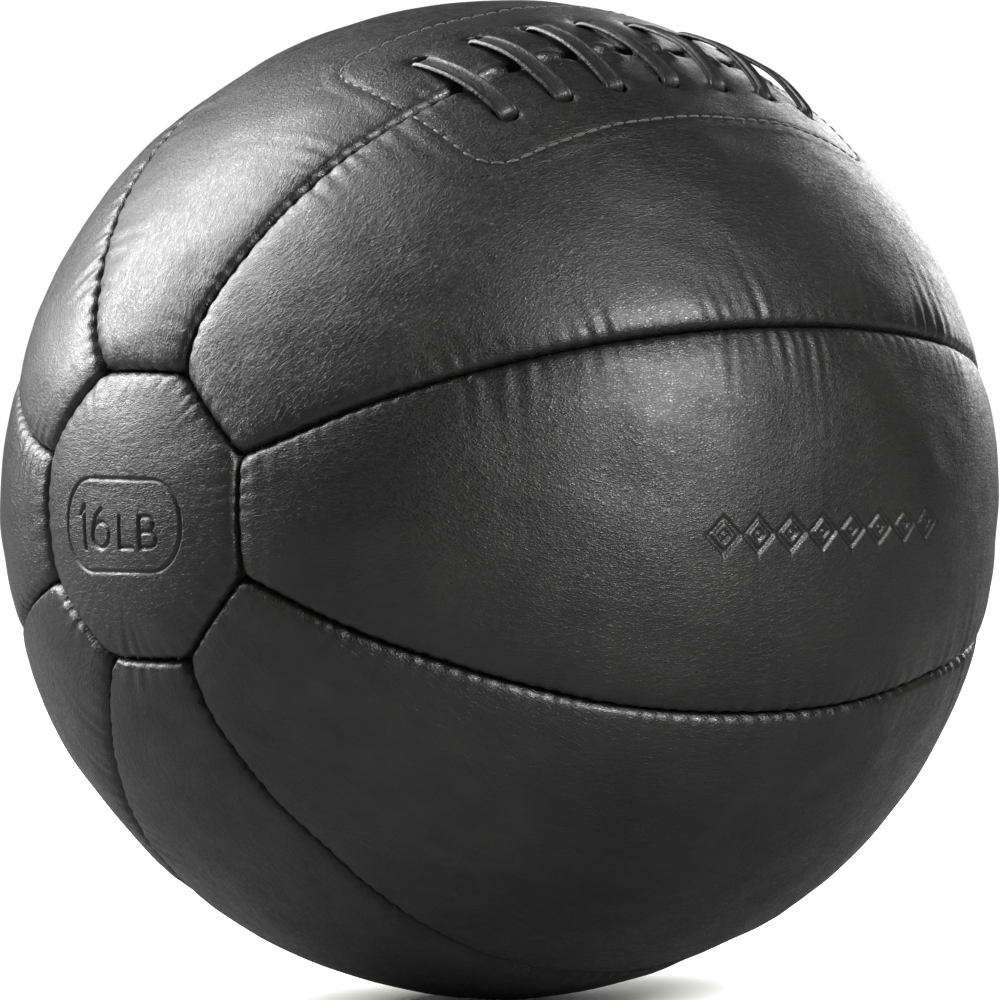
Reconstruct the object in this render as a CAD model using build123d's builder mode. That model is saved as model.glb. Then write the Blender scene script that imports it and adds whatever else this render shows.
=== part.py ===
from build123d import *

import os
from math import atan, cos, floor, hypot, pi, sin, tan

# Laced leather medicine ball: eight gores and two eight-sided caps sewn over a stuffed lining.
#
# The origin is the ball's centre and +Z is up. The seams run from cap to cap along X: the cap with the
# weight mark is at -X, the plain cap at +X. Turns about X are measured from +Z towards -Y, the front.

# Driving dimensions, in millimetres. Lengths "over the curve" are measured along the ball's surface.
ball_diameter = 305.0
leather_thickness = 2.4
cap_across_flats = 89.0            # over the curve
edge_round = 1.8                   # where the leather turns in at a seam

allowance_depth = 5.6              # turned-in seam allowance, below the leather
allowance_thickness = 2.0          # skived a little thinner than the leather
seam_gap = 0.2                     # between two allowances

seam_stitch_pitch = 6.0
seam_thread_width = 1.2
seam_thread_height = 0.8
seam_rung_diameter = 0.9           # the same thread, pulled thin where it passes through a hole
needle_clearance = 0.2             # round a thread in its hole
thread_clearance = 0.05            # between a thread and the face it lies on
stitch_end_margin = 7.0            # from a seam's corner to its first hole
cap_end_margin = 5.0               # from a cap's corner to the first hole of its edge
relief_end_margin = 3.5            # from the cut-away allowance to the first hole past it

lacing_shift = -6.0                # middle of the lacing, over the curve, towards the marked cap
slit_overrun = 7.1                 # past each end bar of the lacing
slit_gap = 1.2
allowance_relief = 8.0             # allowance cut away past each end of the slit

lace_bars = 7
lace_pitch = 19.8
lace_hole_rows = 41.0              # between the two rows of holes, over the curve
lace_width = 6.4
lace_thickness = 1.8
lace_rise = 2.6                    # of a bar over the middle of the slit
lace_hole_clearance = 0.15
lace_tail = 11.0                   # from the last hole to the knot
lace_leg_lap = 0.9                 # of a leg's foot into the inner run, as a share of the thickness
lace_run_lap = 0.7                 # of an inner run past its hole's middle, as a share of the thickness
lace_bend = 0.8                    # radius at a leg's foot, as a share of the thickness
lace_knot_diameter = 8.4
lace_knot_thickness = 3.2

facing_overrun = 18.5              # past each end of the slit
facing_reach = 44.0                # from the slit to a facing's long edge, over the curve
facing_thickness = 2.0
facing_setback = 2.6               # from the middle of the slit
facing_corner = 17.0
facing_stitch_inset = 5.0
facing_stitch_pitch = 4.6
facing_stitch_start = 5.5          # from the middle of the slit
facing_thread_width = 0.9
facing_thread_height = 0.6
facing_leg_diameter = 0.7

layer_gap = 0.1                    # between leather pieces that lie on each other
tongue_thickness = 1.6
tongue_reach = 26.0                # free side, from the slit
tongue_hem_width = 14.0            # folded double and sewn in with the facing
tongue_overlap = 6.0               # past each end of the slit
tongue_hem_shortfall = 3.0         # the hem stops short of each end of the slit
lace_room = 0.2                    # between the lace's inner runs and the tongue

lining_drop = 1.2                  # from the tongue down to the lining
lining_thickness = 1.0
lining_slit_length = 100.0
lining_slit_gap = 0.8
lining_stitches = 12
lining_stitch_pitch = 8.0
lining_stitch_rows = 9.0
lining_thread_width = 1.2
lining_thread_thickness = 0.6
lining_thread_rise = 0.15

stuffing_gap = 0.3
weight_radius = 78.0
weight_bag_thickness = 1.2
weight_bag_gap = 0.2
weight_neck_diameter = 22.0
weight_neck_height = 16.0
weight_tie_diameter = 4.0

# Worked out from the driving dimensions.
ball_radius = ball_diameter / 2
gore_count = 8
half_gore = pi / gore_count
laced_turn = half_gore
cap_flat_angle = cap_across_flats / 2 / ball_radius
cap_corner_angle = atan(tan(cap_flat_angle) / cos(half_gore))
slit_length = (lace_bars - 1) * lace_pitch + 2 * slit_overrun
facing_length = slit_length + 2 * facing_overrun
hem_half_length = slit_length / 2 - tongue_hem_shortfall
relief_half_length = slit_length / 2 + allowance_relief
leather_inside = ball_radius - leather_thickness
allowance_tip = leather_inside - allowance_depth
stitch_radius = leather_inside - allowance_depth / 2
rail_height = seam_gap / 2 + allowance_thickness + thread_clearance
seam_hole_diameter = seam_rung_diameter + 2 * needle_clearance

facing_outside = leather_inside - layer_gap
facing_inside = facing_outside - facing_thickness
lace_run_outside = facing_inside - layer_gap
lace_run_inside = lace_run_outside - lace_thickness
lace_hole_diameter = hypot(lace_width, lace_thickness) + 2 * lace_hole_clearance
tongue_outside = lace_run_inside - lace_room
tongue_inside = tongue_outside - tongue_thickness
lining_outside = tongue_inside - lining_drop
lining_inside = lining_outside - lining_thickness
stuffing_radius = lining_inside - lining_thread_thickness - thread_clearance - stuffing_gap
weight_bag_inside = weight_radius + weight_bag_gap
weight_bag_radius = weight_bag_inside + weight_bag_thickness

gore_names = [
    "gore_top",
    "gore_upper_front",
    "gore_front",
    "gore_lower_front",
    "gore_bottom",
    "gore_lower_back",
    "gore_back",
    "gore_upper_back",
]
marked_end = -1
plain_end = 1
along_seams = Vector(1, 0, 0)


def outward(turn):
    """Direction from the centre to the middle of a seam or gore at this turn about X."""
    return Vector(0, -sin(turn), cos(turn))


def crossways(turn):
    """Direction in which the turn about X grows."""
    return Vector(0, -cos(turn), -sin(turn))


def great_circle(middle, along):
    """Plane through the ball's centre, with its y axis to the middle and its x axis along the arc."""
    return Plane(origin=(0, 0, 0), x_dir=along, z_dir=along.cross(middle))


def on_circle(radius, angle):
    """Point of a great circle's plane at this radius and angle from the middle."""
    return (radius * sin(angle), radius * cos(angle))


def cap_edge(turn, end, towards_cap):
    """Great-circle plane of one cap edge, its normal towards the cap or away from it."""
    middle = along_seams * (end * cos(cap_flat_angle)) + outward(turn) * sin(cap_flat_angle)
    return great_circle(middle, crossways(turn) * (-end if towards_cap else end))


def over_curve(along, across):
    """Unit direction to the place this far along and across the slit from the lacing's middle."""
    a = (lacing_shift + along) / ball_radius
    b = across / ball_radius
    on_seam = outward(laced_turn) * cos(a) + along_seams * sin(a)
    return on_seam * cos(b) + crossways(laced_turn) * sin(b)


def along_slit(along):
    """Unit direction that runs along the slit at this place."""
    a = (lacing_shift + along) / ball_radius
    return along_seams * cos(a) - outward(laced_turn) * sin(a)


def slit_end(along, inward):
    """Plane across the slit at this place, its normal along the slit times inward."""
    middle = over_curve(along, 0)
    return great_circle(middle, crossways(laced_turn) * -inward)


def trimmed_ball(radius, planes):
    """Ball cut down to the upper side of every plane."""
    with BuildPart() as ball:
        Sphere(radius, rotation=(0, 90, 0))
        for plane in planes:
            split(bisect_by=plane, keep=Keep.TOP)
    return ball.part


def slit_patch(outer, inner, first, last, near, far):
    """Curved patch beside the slit: two radii, two ends along it, and two distances across it."""
    seam = great_circle(outward(laced_turn), along_seams)
    ends = [slit_end(first, 1), slit_end(last, -1)]
    near_angle = near / ball_radius
    far_angle = far / ball_radius
    planes = ends + [seam.offset(outer * sin(near_angle)), (-seam).offset(-outer * sin(far_angle))]
    with BuildPart() as patch:
        add(trimmed_ball(outer, planes))
        Sphere(inner, rotation=(0, 90, 0), mode=Mode.SUBTRACT)
    return patch.part


def arc_band(inner, outer, first, last):
    """Flat band between two radii and two angles about the ball's centre."""
    middle = (first + last) / 2
    with BuildSketch() as band:
        with BuildLine():
            ThreePointArc(on_circle(inner, first), on_circle(inner, middle), on_circle(inner, last))
            Line(on_circle(inner, last), on_circle(outer, last))
            ThreePointArc(on_circle(outer, last), on_circle(outer, middle), on_circle(outer, first))
            Line(on_circle(outer, first), on_circle(inner, first))
        make_face()
    return band.sketch


def stitch_angles(reach):
    """Angles of evenly pitched holes that fill an arc this far to each side of its middle."""
    pitch = seam_stitch_pitch / stitch_radius
    count = floor(2 * reach / pitch) + 1
    return [(i - (count - 1) / 2) * pitch for i in range(count)]


seam_reach = pi / 2 - cap_corner_angle - stitch_end_margin / stitch_radius
seam_angles = stitch_angles(seam_reach)
edge_reach = atan(sin(cap_flat_angle) * tan(half_gore)) - cap_end_margin / stitch_radius
edge_angles = stitch_angles(edge_reach)


def sewn_panel(sides, rows):
    """Leather panel of the ball with turned-in allowances along its sides, pierced for their stitches."""
    block = trimmed_ball(ball_radius, [side.offset(seam_gap / 2) for side in sides])
    inner_offset = seam_gap / 2 + allowance_thickness
    hollow = trimmed_ball(leather_inside, [side.offset(inner_offset) for side in sides])
    with BuildPart() as panel:
        add(block)
        rim = panel.edges().filter_by(lambda e: min(v.center().length for v in e.vertices()) > leather_inside)
        fillet(rim, radius=edge_round)
        add(hollow, mode=Mode.SUBTRACT)
        Sphere(allowance_tip, rotation=(0, 90, 0), mode=Mode.SUBTRACT)
        for side, angles in zip(sides, rows):
            with BuildSketch(side):
                with Locations(*[on_circle(stitch_radius, a) for a in angles]):
                    Circle(seam_hole_diameter / 2)
            extrude(amount=inner_offset + seam_thread_height, mode=Mode.SUBTRACT)
    return panel.part


def cap_sides(end):
    """Planes of a cap's eight edges, each normal towards the cap."""
    return [cap_edge(2 * half_gore * i, end, towards_cap=True) for i in range(gore_count)]


def lacing(outside, inside, places, half_span, width, thickness, rise):
    """Bars across the slit with a leg through each hole, joined behind it by diagonal runs."""
    angle = half_span / ball_radius
    bend = Vector(sin(angle), cos(angle))
    half = Vector(cos(angle), -sin(angle)) * (thickness / 2)
    low = inside - thickness * lace_leg_lap
    foot_in = bend * low - half
    foot_out = bend * low + half
    top_in = bend * (outside + thread_clearance) - half
    top_out = bend * (outside + thread_clearance + thickness) + half
    under = outside + rise
    with BuildSketch() as staple:
        with BuildLine():
            Line((foot_in.X, foot_in.Y), (foot_out.X, foot_out.Y))
            Line((foot_out.X, foot_out.Y), (top_out.X, top_out.Y))
            ThreePointArc((top_out.X, top_out.Y), (0, under + thickness), (-top_out.X, top_out.Y))
            Line((-top_out.X, top_out.Y), (-foot_out.X, foot_out.Y))
            Line((-foot_out.X, foot_out.Y), (-foot_in.X, foot_in.Y))
            Line((-foot_in.X, foot_in.Y), (-top_in.X, top_in.Y))
            ThreePointArc((-top_in.X, top_in.Y), (0, under), (top_in.X, top_in.Y))
            Line((top_in.X, top_in.Y), (foot_in.X, foot_in.Y))
        make_face()
        bends = staple.vertices().sort_by(Axis.X)
        fillet([bends[0], bends[-1]], radius=thickness * lace_bend)
    with BuildPart() as row:
        for place in places:
            with BuildSketch(great_circle(over_curve(place, 0), crossways(laced_turn))):
                add(staple.sketch)
            extrude(amount=width / 2, both=True)
        for place, following in zip(places, places[1:]):
            add(inner_run(over_curve(place, -half_span), over_curve(following, half_span),
                          inside, width, thickness))
    return row.part


def inner_run(start, finish, outside, width, thickness):
    """Flat run of lace or thread behind the leather, from one direction to another."""
    run_plane = great_circle((start + finish).normalized(), (finish - start).normalized())
    reach = start.get_angle(finish) * pi / 180 / 2 + thickness * lace_run_lap / outside
    with BuildPart() as run:
        with BuildSketch(run_plane):
            add(arc_band(outside - thickness, outside, -reach, reach))
        extrude(amount=width / 2, both=True)
    return run.part


def pitched(count, pitch):
    """Places of a row of this many things about the middle of the lacing."""
    return [(i - (count - 1) / 2) * pitch for i in range(count)]


def facing_stitches(side):
    """Places of a facing's stitch holes, as (along, across), round its three sewn sides."""
    end = facing_length / 2 - facing_stitch_inset
    reach = facing_reach - facing_stitch_inset
    radius = facing_corner - facing_stitch_inset
    start = facing_stitch_start
    with BuildLine() as outline:
        FilletPolyline((-end, start), (-end, reach), (end, reach), (end, start), radius=radius)
    path = outline.wire()
    pairs = round(path.length / facing_stitch_pitch / 2)
    count = 2 * pairs
    points = [path.position_at(i / (count - 1)) for i in range(count)]
    return [(p.X, p.Y * side) for p in points]


def radial_plane(direction, along, radius):
    """Plane square to a direction from the centre, its x axis turned along the given way."""
    flat = along - direction * along.dot(direction)
    return Plane(origin=direction * radius, x_dir=flat, z_dir=direction)


def radial_holes(places, diameter, outer, inner):
    """Round drills of one size towards the centre, between two radii, at places beside the slit."""
    drills = [radial_plane(over_curve(*place), along_slit(place[0]), (outer + inner) / 2) for place in places]
    with BuildPart() as holes:
        with Locations(*drills):
            Cylinder(diameter / 2, outer - inner)
    return holes.part


def over_hem(place):
    """Whether a stitch at this place goes through the tongue's folded hem."""
    along, across = place
    return across < -tongue_reach and abs(along) < hem_half_length + facing_thread_width


def dash(start, finish, radius):
    """One straight stretch of thread between two places, at this radius."""
    a = over_curve(*start) * radius
    b = over_curve(*finish) * radius
    middle = (a + b) * 0.5
    place = radial_plane(middle.normalized(), b - a, middle.length)
    with BuildPart() as stretch:
        with Locations(place):
            Box((b - a).length + facing_thread_width, facing_thread_width, facing_thread_height)
    return stretch.part


def facing_thread(places):
    """Running stitch: a dash outside, down through a hole, a dash inside, and up again."""
    outside = ball_radius + thread_clearance + facing_thread_height / 2
    under_facing = facing_inside - thread_clearance - facing_thread_height / 2
    under_hem = tongue_inside - thread_clearance - facing_thread_height / 2
    with BuildPart() as thread:
        for start, finish in zip(places[0::2], places[1::2]):
            add(dash(start, finish, outside))
        inner_pairs = [(places[0],)] + list(zip(places[1:-1:2], places[2:-1:2])) + [(places[-1],)]
        for pair in inner_pairs:
            inside = under_hem if any(over_hem(place) for place in pair) else under_facing
            if len(pair) == 2:
                add(dash(*pair, inside))
            for place in pair:
                direction = over_curve(*place)
                with Locations(radial_plane(direction, along_slit(place[0]), (outside + inside) / 2)):
                    Cylinder(facing_leg_diameter / 2, outside - inside)
    return thread.part


def rail(plane, offset, first, last):
    """Thread that lies on one face of an allowance, between two angles."""
    half = seam_thread_width / 2
    with BuildPart() as lying:
        with BuildSketch(plane.offset(offset)):
            add(arc_band(stitch_radius - half, stitch_radius + half, first, last))
        extrude(amount=seam_thread_height)
    return lying.part


def rungs(plane, angles):
    """Thread through each hole of a row, into the rails on both sides."""
    half_length = rail_height + seam_thread_height / 2
    with BuildPart() as crossing:
        with BuildSketch(plane.offset(-half_length)):
            with Locations(*[on_circle(stitch_radius, a) for a in angles]):
                Circle(seam_rung_diameter / 2)
        extrude(amount=2 * half_length)
    return crossing.part


def seam_thread(turn, angles):
    """Saddle stitch along a stretch of seam: a rail on each side, joined through every hole."""
    plane = great_circle(outward(turn), along_seams)
    overrun = seam_thread_width / stitch_radius
    first = angles[0] - overrun
    last = angles[-1] + overrun
    with BuildPart() as thread:
        add(rungs(plane, angles))
        add(rail(plane, rail_height, first, last))
        add(rail(plane, -rail_height - seam_thread_height, first, last))
    return thread.part


def cap_thread(end):
    """Saddle stitch round a cap: a closed rail inside the cap, and a short one along each gore."""
    overrun = seam_thread_width / stitch_radius
    last = edge_angles[-1] + overrun
    inner_height = (rail_height + seam_thread_height / 2) / stitch_radius
    corner = atan((sin(cap_flat_angle) - inner_height * cos(cap_flat_angle)) * tan(half_gore))
    corner += layer_gap / stitch_radius
    with BuildPart() as thread:
        for plane in cap_sides(end):
            add(rungs(plane, edge_angles))
            add(rail(plane, rail_height, -corner, corner))
            add(rail(plane, -rail_height - seam_thread_height, -last, last))
    return thread.part


def finish(piece, name):
    """Label a finished piece and write it."""
    piece.label = name
    export_step(piece, f"parts/{name}.step")


os.makedirs("parts", exist_ok=True)

# The eight gores are cut alike. The two beside the slit are then pared and pierced for the lacing.
gore_sides = [
    great_circle(outward(-half_gore), along_seams),
    great_circle(outward(half_gore), along_seams * -1),
    cap_edge(0, marked_end, towards_cap=False),
    cap_edge(0, plain_end, towards_cap=False),
]
plain_gore = sewn_panel(gore_sides, [seam_angles, seam_angles, edge_angles, edge_angles])

lace_places = pitched(lace_bars, lace_pitch)
front_stitches = facing_stitches(1)
back_stitches = facing_stitches(-1)
lace_holes = [(place, side * lace_hole_rows / 2) for place in lace_places for side in (1, -1)]
drill_top = ball_radius + lace_thickness
lace_drills = radial_holes(lace_holes, lace_hole_diameter, drill_top, lace_run_outside - lace_thickness)
stitch_drills = radial_holes(front_stitches + back_stitches, facing_leg_diameter + 2 * needle_clearance,
                             drill_top, tongue_inside - thread_clearance)
slit_cut_half = slit_gap / 2
slit_opening = slit_patch(drill_top, tongue_inside, -slit_length / 2, slit_length / 2,
                          -slit_cut_half, slit_cut_half)
relief_half_width = seam_gap / 2 + allowance_thickness + thread_clearance
allowance_relief_cut = slit_patch(leather_inside, allowance_tip - seam_gap, -relief_half_length,
                                  relief_half_length, -relief_half_width, relief_half_width)

for number, gore_name in enumerate(gore_names):
    with BuildPart() as gore:
        add(plain_gore, rotation=(number * 360 / gore_count, 0, 0))
        if gore_name in ("gore_top", "gore_upper_front"):
            add(allowance_relief_cut, mode=Mode.SUBTRACT)
            add(slit_opening, mode=Mode.SUBTRACT)
            add(lace_drills, mode=Mode.SUBTRACT)
            add(stitch_drills, mode=Mode.SUBTRACT)
    finish(gore.part, gore_name)

# The caps.
for cap_name, end in (("cap_marked", marked_end), ("cap_plain", plain_end)):
    finish(sewn_panel(cap_sides(end), [edge_angles] * gore_count), cap_name)
    finish(cap_thread(end), cap_name.replace("cap_", "cap_thread_"))

# The seams between gores. The slit parts the thread of the laced one in two.
for number in range(gore_count):
    turn = (2 * number - 1) * half_gore
    if number != 1:
        finish(seam_thread(turn, seam_angles), f"seam_thread_{number + 1}")
relief_reach = (relief_half_length + relief_end_margin) / ball_radius
lacing_middle = lacing_shift / ball_radius
marked_angles = [a for a in seam_angles if a < lacing_middle - relief_reach]
plain_angles = [a for a in seam_angles if a > lacing_middle + relief_reach]
finish(seam_thread(laced_turn, marked_angles), "seam_thread_laced_marked_end")
finish(seam_thread(laced_turn, plain_angles), "seam_thread_laced_plain_end")

# The facings behind the slit's edges, with the line of stitching that holds each.
for name, side, stitches in (("front", 1, front_stitches), ("back", -1, back_stitches)):
    near, far = sorted((side * facing_setback, side * facing_reach))
    with BuildPart() as facing:
        add(slit_patch(facing_outside, facing_inside, -facing_length / 2, facing_length / 2, near, far))
        for end in (marked_end, plain_end):
            corner = (end * (facing_length / 2 - facing_corner), side * (facing_reach - facing_corner))
            with BuildSketch(radial_plane(over_curve(*corner), along_slit(corner[0]), facing_inside)):
                with Locations((end * facing_corner, -side * facing_corner)):
                    Rectangle(2 * facing_corner, 2 * facing_corner)
                Circle(facing_corner, mode=Mode.SUBTRACT)
            extrude(amount=2 * facing_thickness, both=True, mode=Mode.SUBTRACT)
        add(lace_drills, mode=Mode.SUBTRACT)
        add(stitch_drills, mode=Mode.SUBTRACT)
    finish(facing.part, f"facing_{name}")
    finish(facing_thread(stitches), f"facing_thread_{name}")

# The tongue behind the slit, its sewn edge folded double.
tongue_half_length = slit_length / 2 + tongue_overlap
hem_edge = -tongue_reach - tongue_hem_width
with BuildPart() as tongue:
    add(slit_patch(tongue_outside, tongue_inside, -tongue_half_length, tongue_half_length,
                   -tongue_reach - tongue_thickness, tongue_reach))
    add(slit_patch(lace_run_outside, tongue_inside, -hem_half_length, hem_half_length,
                   hem_edge - facing_stitch_inset, -tongue_reach))
    add(stitch_drills, mode=Mode.SUBTRACT)
finish(tongue.part, "tongue")

# The lace: seven bars, the diagonals behind them, and a tail to a flat knot at each end.
knot_across = lace_hole_rows / 2 + lace_tail
knots = [(lace_places[0], knot_across), (lace_places[-1] + lace_tail, knot_across)]
hole_before_knot = [(lace_places[0], lace_hole_rows / 2), (lace_places[-1], -lace_hole_rows / 2)]
with BuildPart() as lace:
    add(lacing(ball_radius, lace_run_outside, lace_places, lace_hole_rows / 2,
               lace_width, lace_thickness, lace_rise))
    for hole, knot in zip(hole_before_knot, knots):
        add(inner_run(over_curve(*hole), over_curve(*knot), lace_run_outside, lace_width, lace_thickness))
        knot_middle = lace_run_outside - layer_gap - lace_knot_thickness / 2
        with Locations(radial_plane(over_curve(*knot), along_slit(knot[0]), knot_middle)):
            Cylinder(lace_knot_diameter / 2, lace_knot_thickness)
finish(lace.part, "lace")

# The lining bag, with its own slit under the lacing, sewn shut once it is filled.
lining_places = pitched(lining_stitches, lining_stitch_pitch)
lining_holes = [(place, side * lining_stitch_rows / 2) for place in lining_places for side in (1, -1)]
lining_hole_diameter = hypot(lining_thread_width, lining_thread_thickness) + 2 * needle_clearance
with BuildPart() as lining:
    Sphere(lining_outside, rotation=(0, 90, 0))
    Sphere(lining_inside, rotation=(0, 90, 0), mode=Mode.SUBTRACT)
    add(slit_patch(tongue_inside, stuffing_radius, -lining_slit_length / 2, lining_slit_length / 2,
                   -lining_slit_gap / 2, lining_slit_gap / 2), mode=Mode.SUBTRACT)
    add(radial_holes(lining_holes, lining_hole_diameter, tongue_inside, stuffing_radius), mode=Mode.SUBTRACT)
finish(lining.part, "lining_bag")
finish(lacing(lining_outside, lining_inside - thread_clearance, lining_places, lining_stitch_rows / 2,
              lining_thread_width, lining_thread_thickness, lining_thread_rise), "lining_closing_thread")

# The stuffing, and the bag of sand at its middle with a tied neck.
with BuildPart() as weight_fill:
    Sphere(weight_radius, rotation=(0, 90, 0))
finish(weight_fill.part, "weight_fill")

neck_top = weight_bag_radius + weight_neck_height
with BuildPart() as weight_bag:
    Sphere(weight_bag_radius, rotation=(0, 90, 0))
    with BuildSketch():
        Circle(weight_neck_diameter / 2)
    extrude(amount=neck_top)
    Sphere(weight_bag_inside, rotation=(0, 90, 0), mode=Mode.SUBTRACT)
finish(weight_bag.part, "weight_bag")

tie_height = weight_bag_radius + weight_neck_height / 2
tie_radius = weight_neck_diameter / 2 + weight_tie_diameter / 2 + thread_clearance
with BuildPart() as weight_bag_tie:
    with Locations((0, 0, tie_height)):
        Torus(tie_radius, weight_tie_diameter / 2)
finish(weight_bag_tie.part, "weight_bag_tie")

with BuildPart() as stuffing:
    Sphere(stuffing_radius, rotation=(0, 90, 0))
    Sphere(weight_bag_radius + stuffing_gap, rotation=(0, 90, 0), mode=Mode.SUBTRACT)
    with BuildSketch():
        Circle(tie_radius + weight_tie_diameter / 2 + stuffing_gap)
    extrude(amount=neck_top + stuffing_gap, mode=Mode.SUBTRACT)
finish(stuffing.part, "stuffing")
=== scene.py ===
"""Laced leather medicine ball: the finish and the soft shapes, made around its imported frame.

Lengths here are millimetres until a mesh is made. The ball's seams run from cap to cap along X. A turn
about X is measured from +Z towards -Y, which is the front, and a tilt is measured from the marked cap's
pole at -X.
"""
import logging
import math
from dataclasses import dataclass, field
from enum import Enum

import bmesh
import bpy
import numpy as np
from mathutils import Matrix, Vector
from mathutils.geometry import delaunay_2d_cdt


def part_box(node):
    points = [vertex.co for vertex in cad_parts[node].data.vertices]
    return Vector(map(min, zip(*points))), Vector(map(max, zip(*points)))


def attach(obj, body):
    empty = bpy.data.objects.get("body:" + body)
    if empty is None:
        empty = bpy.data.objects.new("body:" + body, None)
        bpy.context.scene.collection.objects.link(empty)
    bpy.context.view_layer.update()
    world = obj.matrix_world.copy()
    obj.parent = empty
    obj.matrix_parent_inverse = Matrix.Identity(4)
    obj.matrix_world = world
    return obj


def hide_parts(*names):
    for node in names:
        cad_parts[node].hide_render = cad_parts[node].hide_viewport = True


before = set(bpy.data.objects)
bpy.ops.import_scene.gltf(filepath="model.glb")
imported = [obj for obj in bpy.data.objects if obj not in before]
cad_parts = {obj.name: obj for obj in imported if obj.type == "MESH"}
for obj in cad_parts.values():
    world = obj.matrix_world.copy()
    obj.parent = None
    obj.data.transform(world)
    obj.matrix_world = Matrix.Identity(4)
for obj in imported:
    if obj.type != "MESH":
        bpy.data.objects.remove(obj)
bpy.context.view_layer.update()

MM = 0.001
SEED = 16
log = logging.getLogger("medicine_ball")

Array = np.ndarray


# ---- helpers


def linear(hex_colour: str) -> tuple[float, float, float, float]:
    """Turn an sRGB hex colour into the linear one that a shader takes.

    Args:
        hex_colour: Six digits, such as "1a1817".

    Returns:
        Red, green, blue and an alpha of one.
    """
    channels = [int(hex_colour[i:i + 2], 16) / 255 for i in (0, 2, 4)]
    shades = [c / 12.92 if c <= 0.04045 else ((c + 0.055) / 1.055) ** 2.4 for c in channels]
    return (*shades, 1.0)


def add_node(tree: bpy.types.NodeTree, kind: str, inputs: dict | None = None, **settings) -> bpy.types.Node:
    """Add one node with its settings and links.

    Args:
        tree: The node tree to add to.
        kind: Blender's name for the kind of node.
        inputs: Socket name or number to a value, or to the output socket that feeds it.
        **settings: Properties of the node itself.

    Returns:
        The new node.
    """
    node = tree.nodes.new(kind)
    for name, value in settings.items():
        setattr(node, name, value)
    for key, value in (inputs or {}).items():
        if isinstance(value, bpy.types.NodeSocket):
            tree.links.new(value, node.inputs[key])
        else:
            node.inputs[key].default_value = value
    return node


def link_object(name: str, data: bpy.types.ID) -> bpy.types.Object:
    """Put a mesh, light or camera into the scene as an object."""
    made = bpy.data.objects.new(name, data)
    bpy.context.scene.collection.objects.link(made)
    return made


def empty_material(name: str) -> tuple[bpy.types.Material, bpy.types.NodeTree]:
    """Start a material that has no nodes yet."""
    material = bpy.data.materials.new(name)
    material.use_nodes = True
    material.node_tree.nodes.clear()
    return material, material.node_tree


def border(grid: Array) -> Array:
    """The points round a grid, in order."""
    return np.concatenate((grid[0, :-1], grid[:-1, -1], grid[-1, :0:-1], grid[:0:-1, 0]))


def unit(vectors: Array) -> Array:
    """Scale vectors to a length of one."""
    return vectors / np.linalg.norm(vectors, axis=-1, keepdims=True)


def rounded_distance(x: Array, y: Array, half_size: tuple, corner: float) -> Array:
    """Signed distance from a rounded rectangle's outline; negative is inside."""
    a = np.abs(x) - (half_size[0] - corner)
    b = np.abs(y) - (half_size[1] - corner)
    return np.hypot(np.maximum(a, 0), np.maximum(b, 0)) + np.minimum(np.maximum(a, b), 0) - corner


def smooth_step(value: Array, low: float, high: float) -> Array:
    """Rise from 0 at low to 1 at high without a corner at either end."""
    t = np.clip((value - low) / (high - low), 0, 1)
    return t * t * (3 - 2 * t)


def graded(length: float, step) -> Array:
    """Places along a length whose spacing follows a rule.

    Args:
        length: How far the places reach.
        step: Function that gives the wanted spacing at a place.

    Returns:
        Rising places that start at 0 and end at length.
    """
    places = [0.0]
    while places[-1] < length:
        places.append(places[-1] + step(places[-1]))
    return np.array(places) * (length / places[-1])


class Ripple:
    """Smooth random field: a sum of plane waves with wavelengths in a given range."""

    def __init__(self, rng: np.random.Generator, shortest: float, longest: float, size: int, waves: int = 24):
        """Draw the waves.

        Args:
            rng: Where the random numbers come from.
            shortest: Shortest wavelength.
            longest: Longest wavelength.
            size: Number of coordinates that a point has.
            waves: How many waves are summed.
        """
        lengths = rng.uniform(shortest, longest, (waves, 1))
        self.waves = unit(rng.normal(size=(waves, size))) * (2 * math.pi / lengths)
        self.starts = rng.uniform(0, 2 * math.pi, waves)

    def __call__(self, points: Array) -> Array:
        """Give the field at points, mostly between -1 and 1."""
        if self.waves.shape[1] == 1:
            points = np.asarray(points)[..., None]
        phases = np.tensordot(points, self.waves.T, axes=1) + self.starts
        return np.sin(phases).sum(axis=-1) / math.sqrt(len(self.starts) * 1.4)


# ---- the shape of the ball


@dataclass(frozen=True)
class Cut:
    """How the panels are cut: eight gores between two eight-sided caps."""

    radius: float
    gores: int = 8
    cap_across_flats: float = 89.0
    leather: float = 2.4
    allowance_depth: float = 5.6
    allowance_thickness: float = 2.0
    seam_gap: float = 0.2

    @property
    def half_gore(self) -> float:
        """Half of a gore's turn about X."""
        return math.pi / self.gores

    @property
    def cap_flat(self) -> float:
        """Tilt of the middle of a cap's edge."""
        return self.cap_across_flats / 2 / self.radius

    @property
    def cap_corner(self) -> float:
        """Tilt of a cap's corner."""
        return math.atan(math.tan(self.cap_flat) / math.cos(self.half_gore))

    def cap_edge(self, turn: Array, inset: Array | float = 0.0) -> Array:
        """Tilt of a cap's edge at a turn measured from the edge's middle, moved out by an inset."""
        return np.arctan(np.tan(self.cap_flat + inset / self.radius) / np.cos(turn))

    @staticmethod
    def angles(directions: Array) -> tuple[Array, Array]:
        """Tilt from the marked pole and turn about X of unit directions."""
        tilt = np.arccos(np.clip(-directions[..., 0], -1, 1))
        return tilt, np.arctan2(-directions[..., 1], directions[..., 2])

    @staticmethod
    def direction(tilt: Array, turn: Array) -> Array:
        """Unit direction at a tilt from the marked pole and a turn about X."""
        tilt, turn = np.broadcast_arrays(tilt, turn)
        parts = (-np.cos(tilt), -np.sin(tilt) * np.sin(turn), np.sin(tilt) * np.cos(turn))
        return np.stack(parts, axis=-1)


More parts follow.
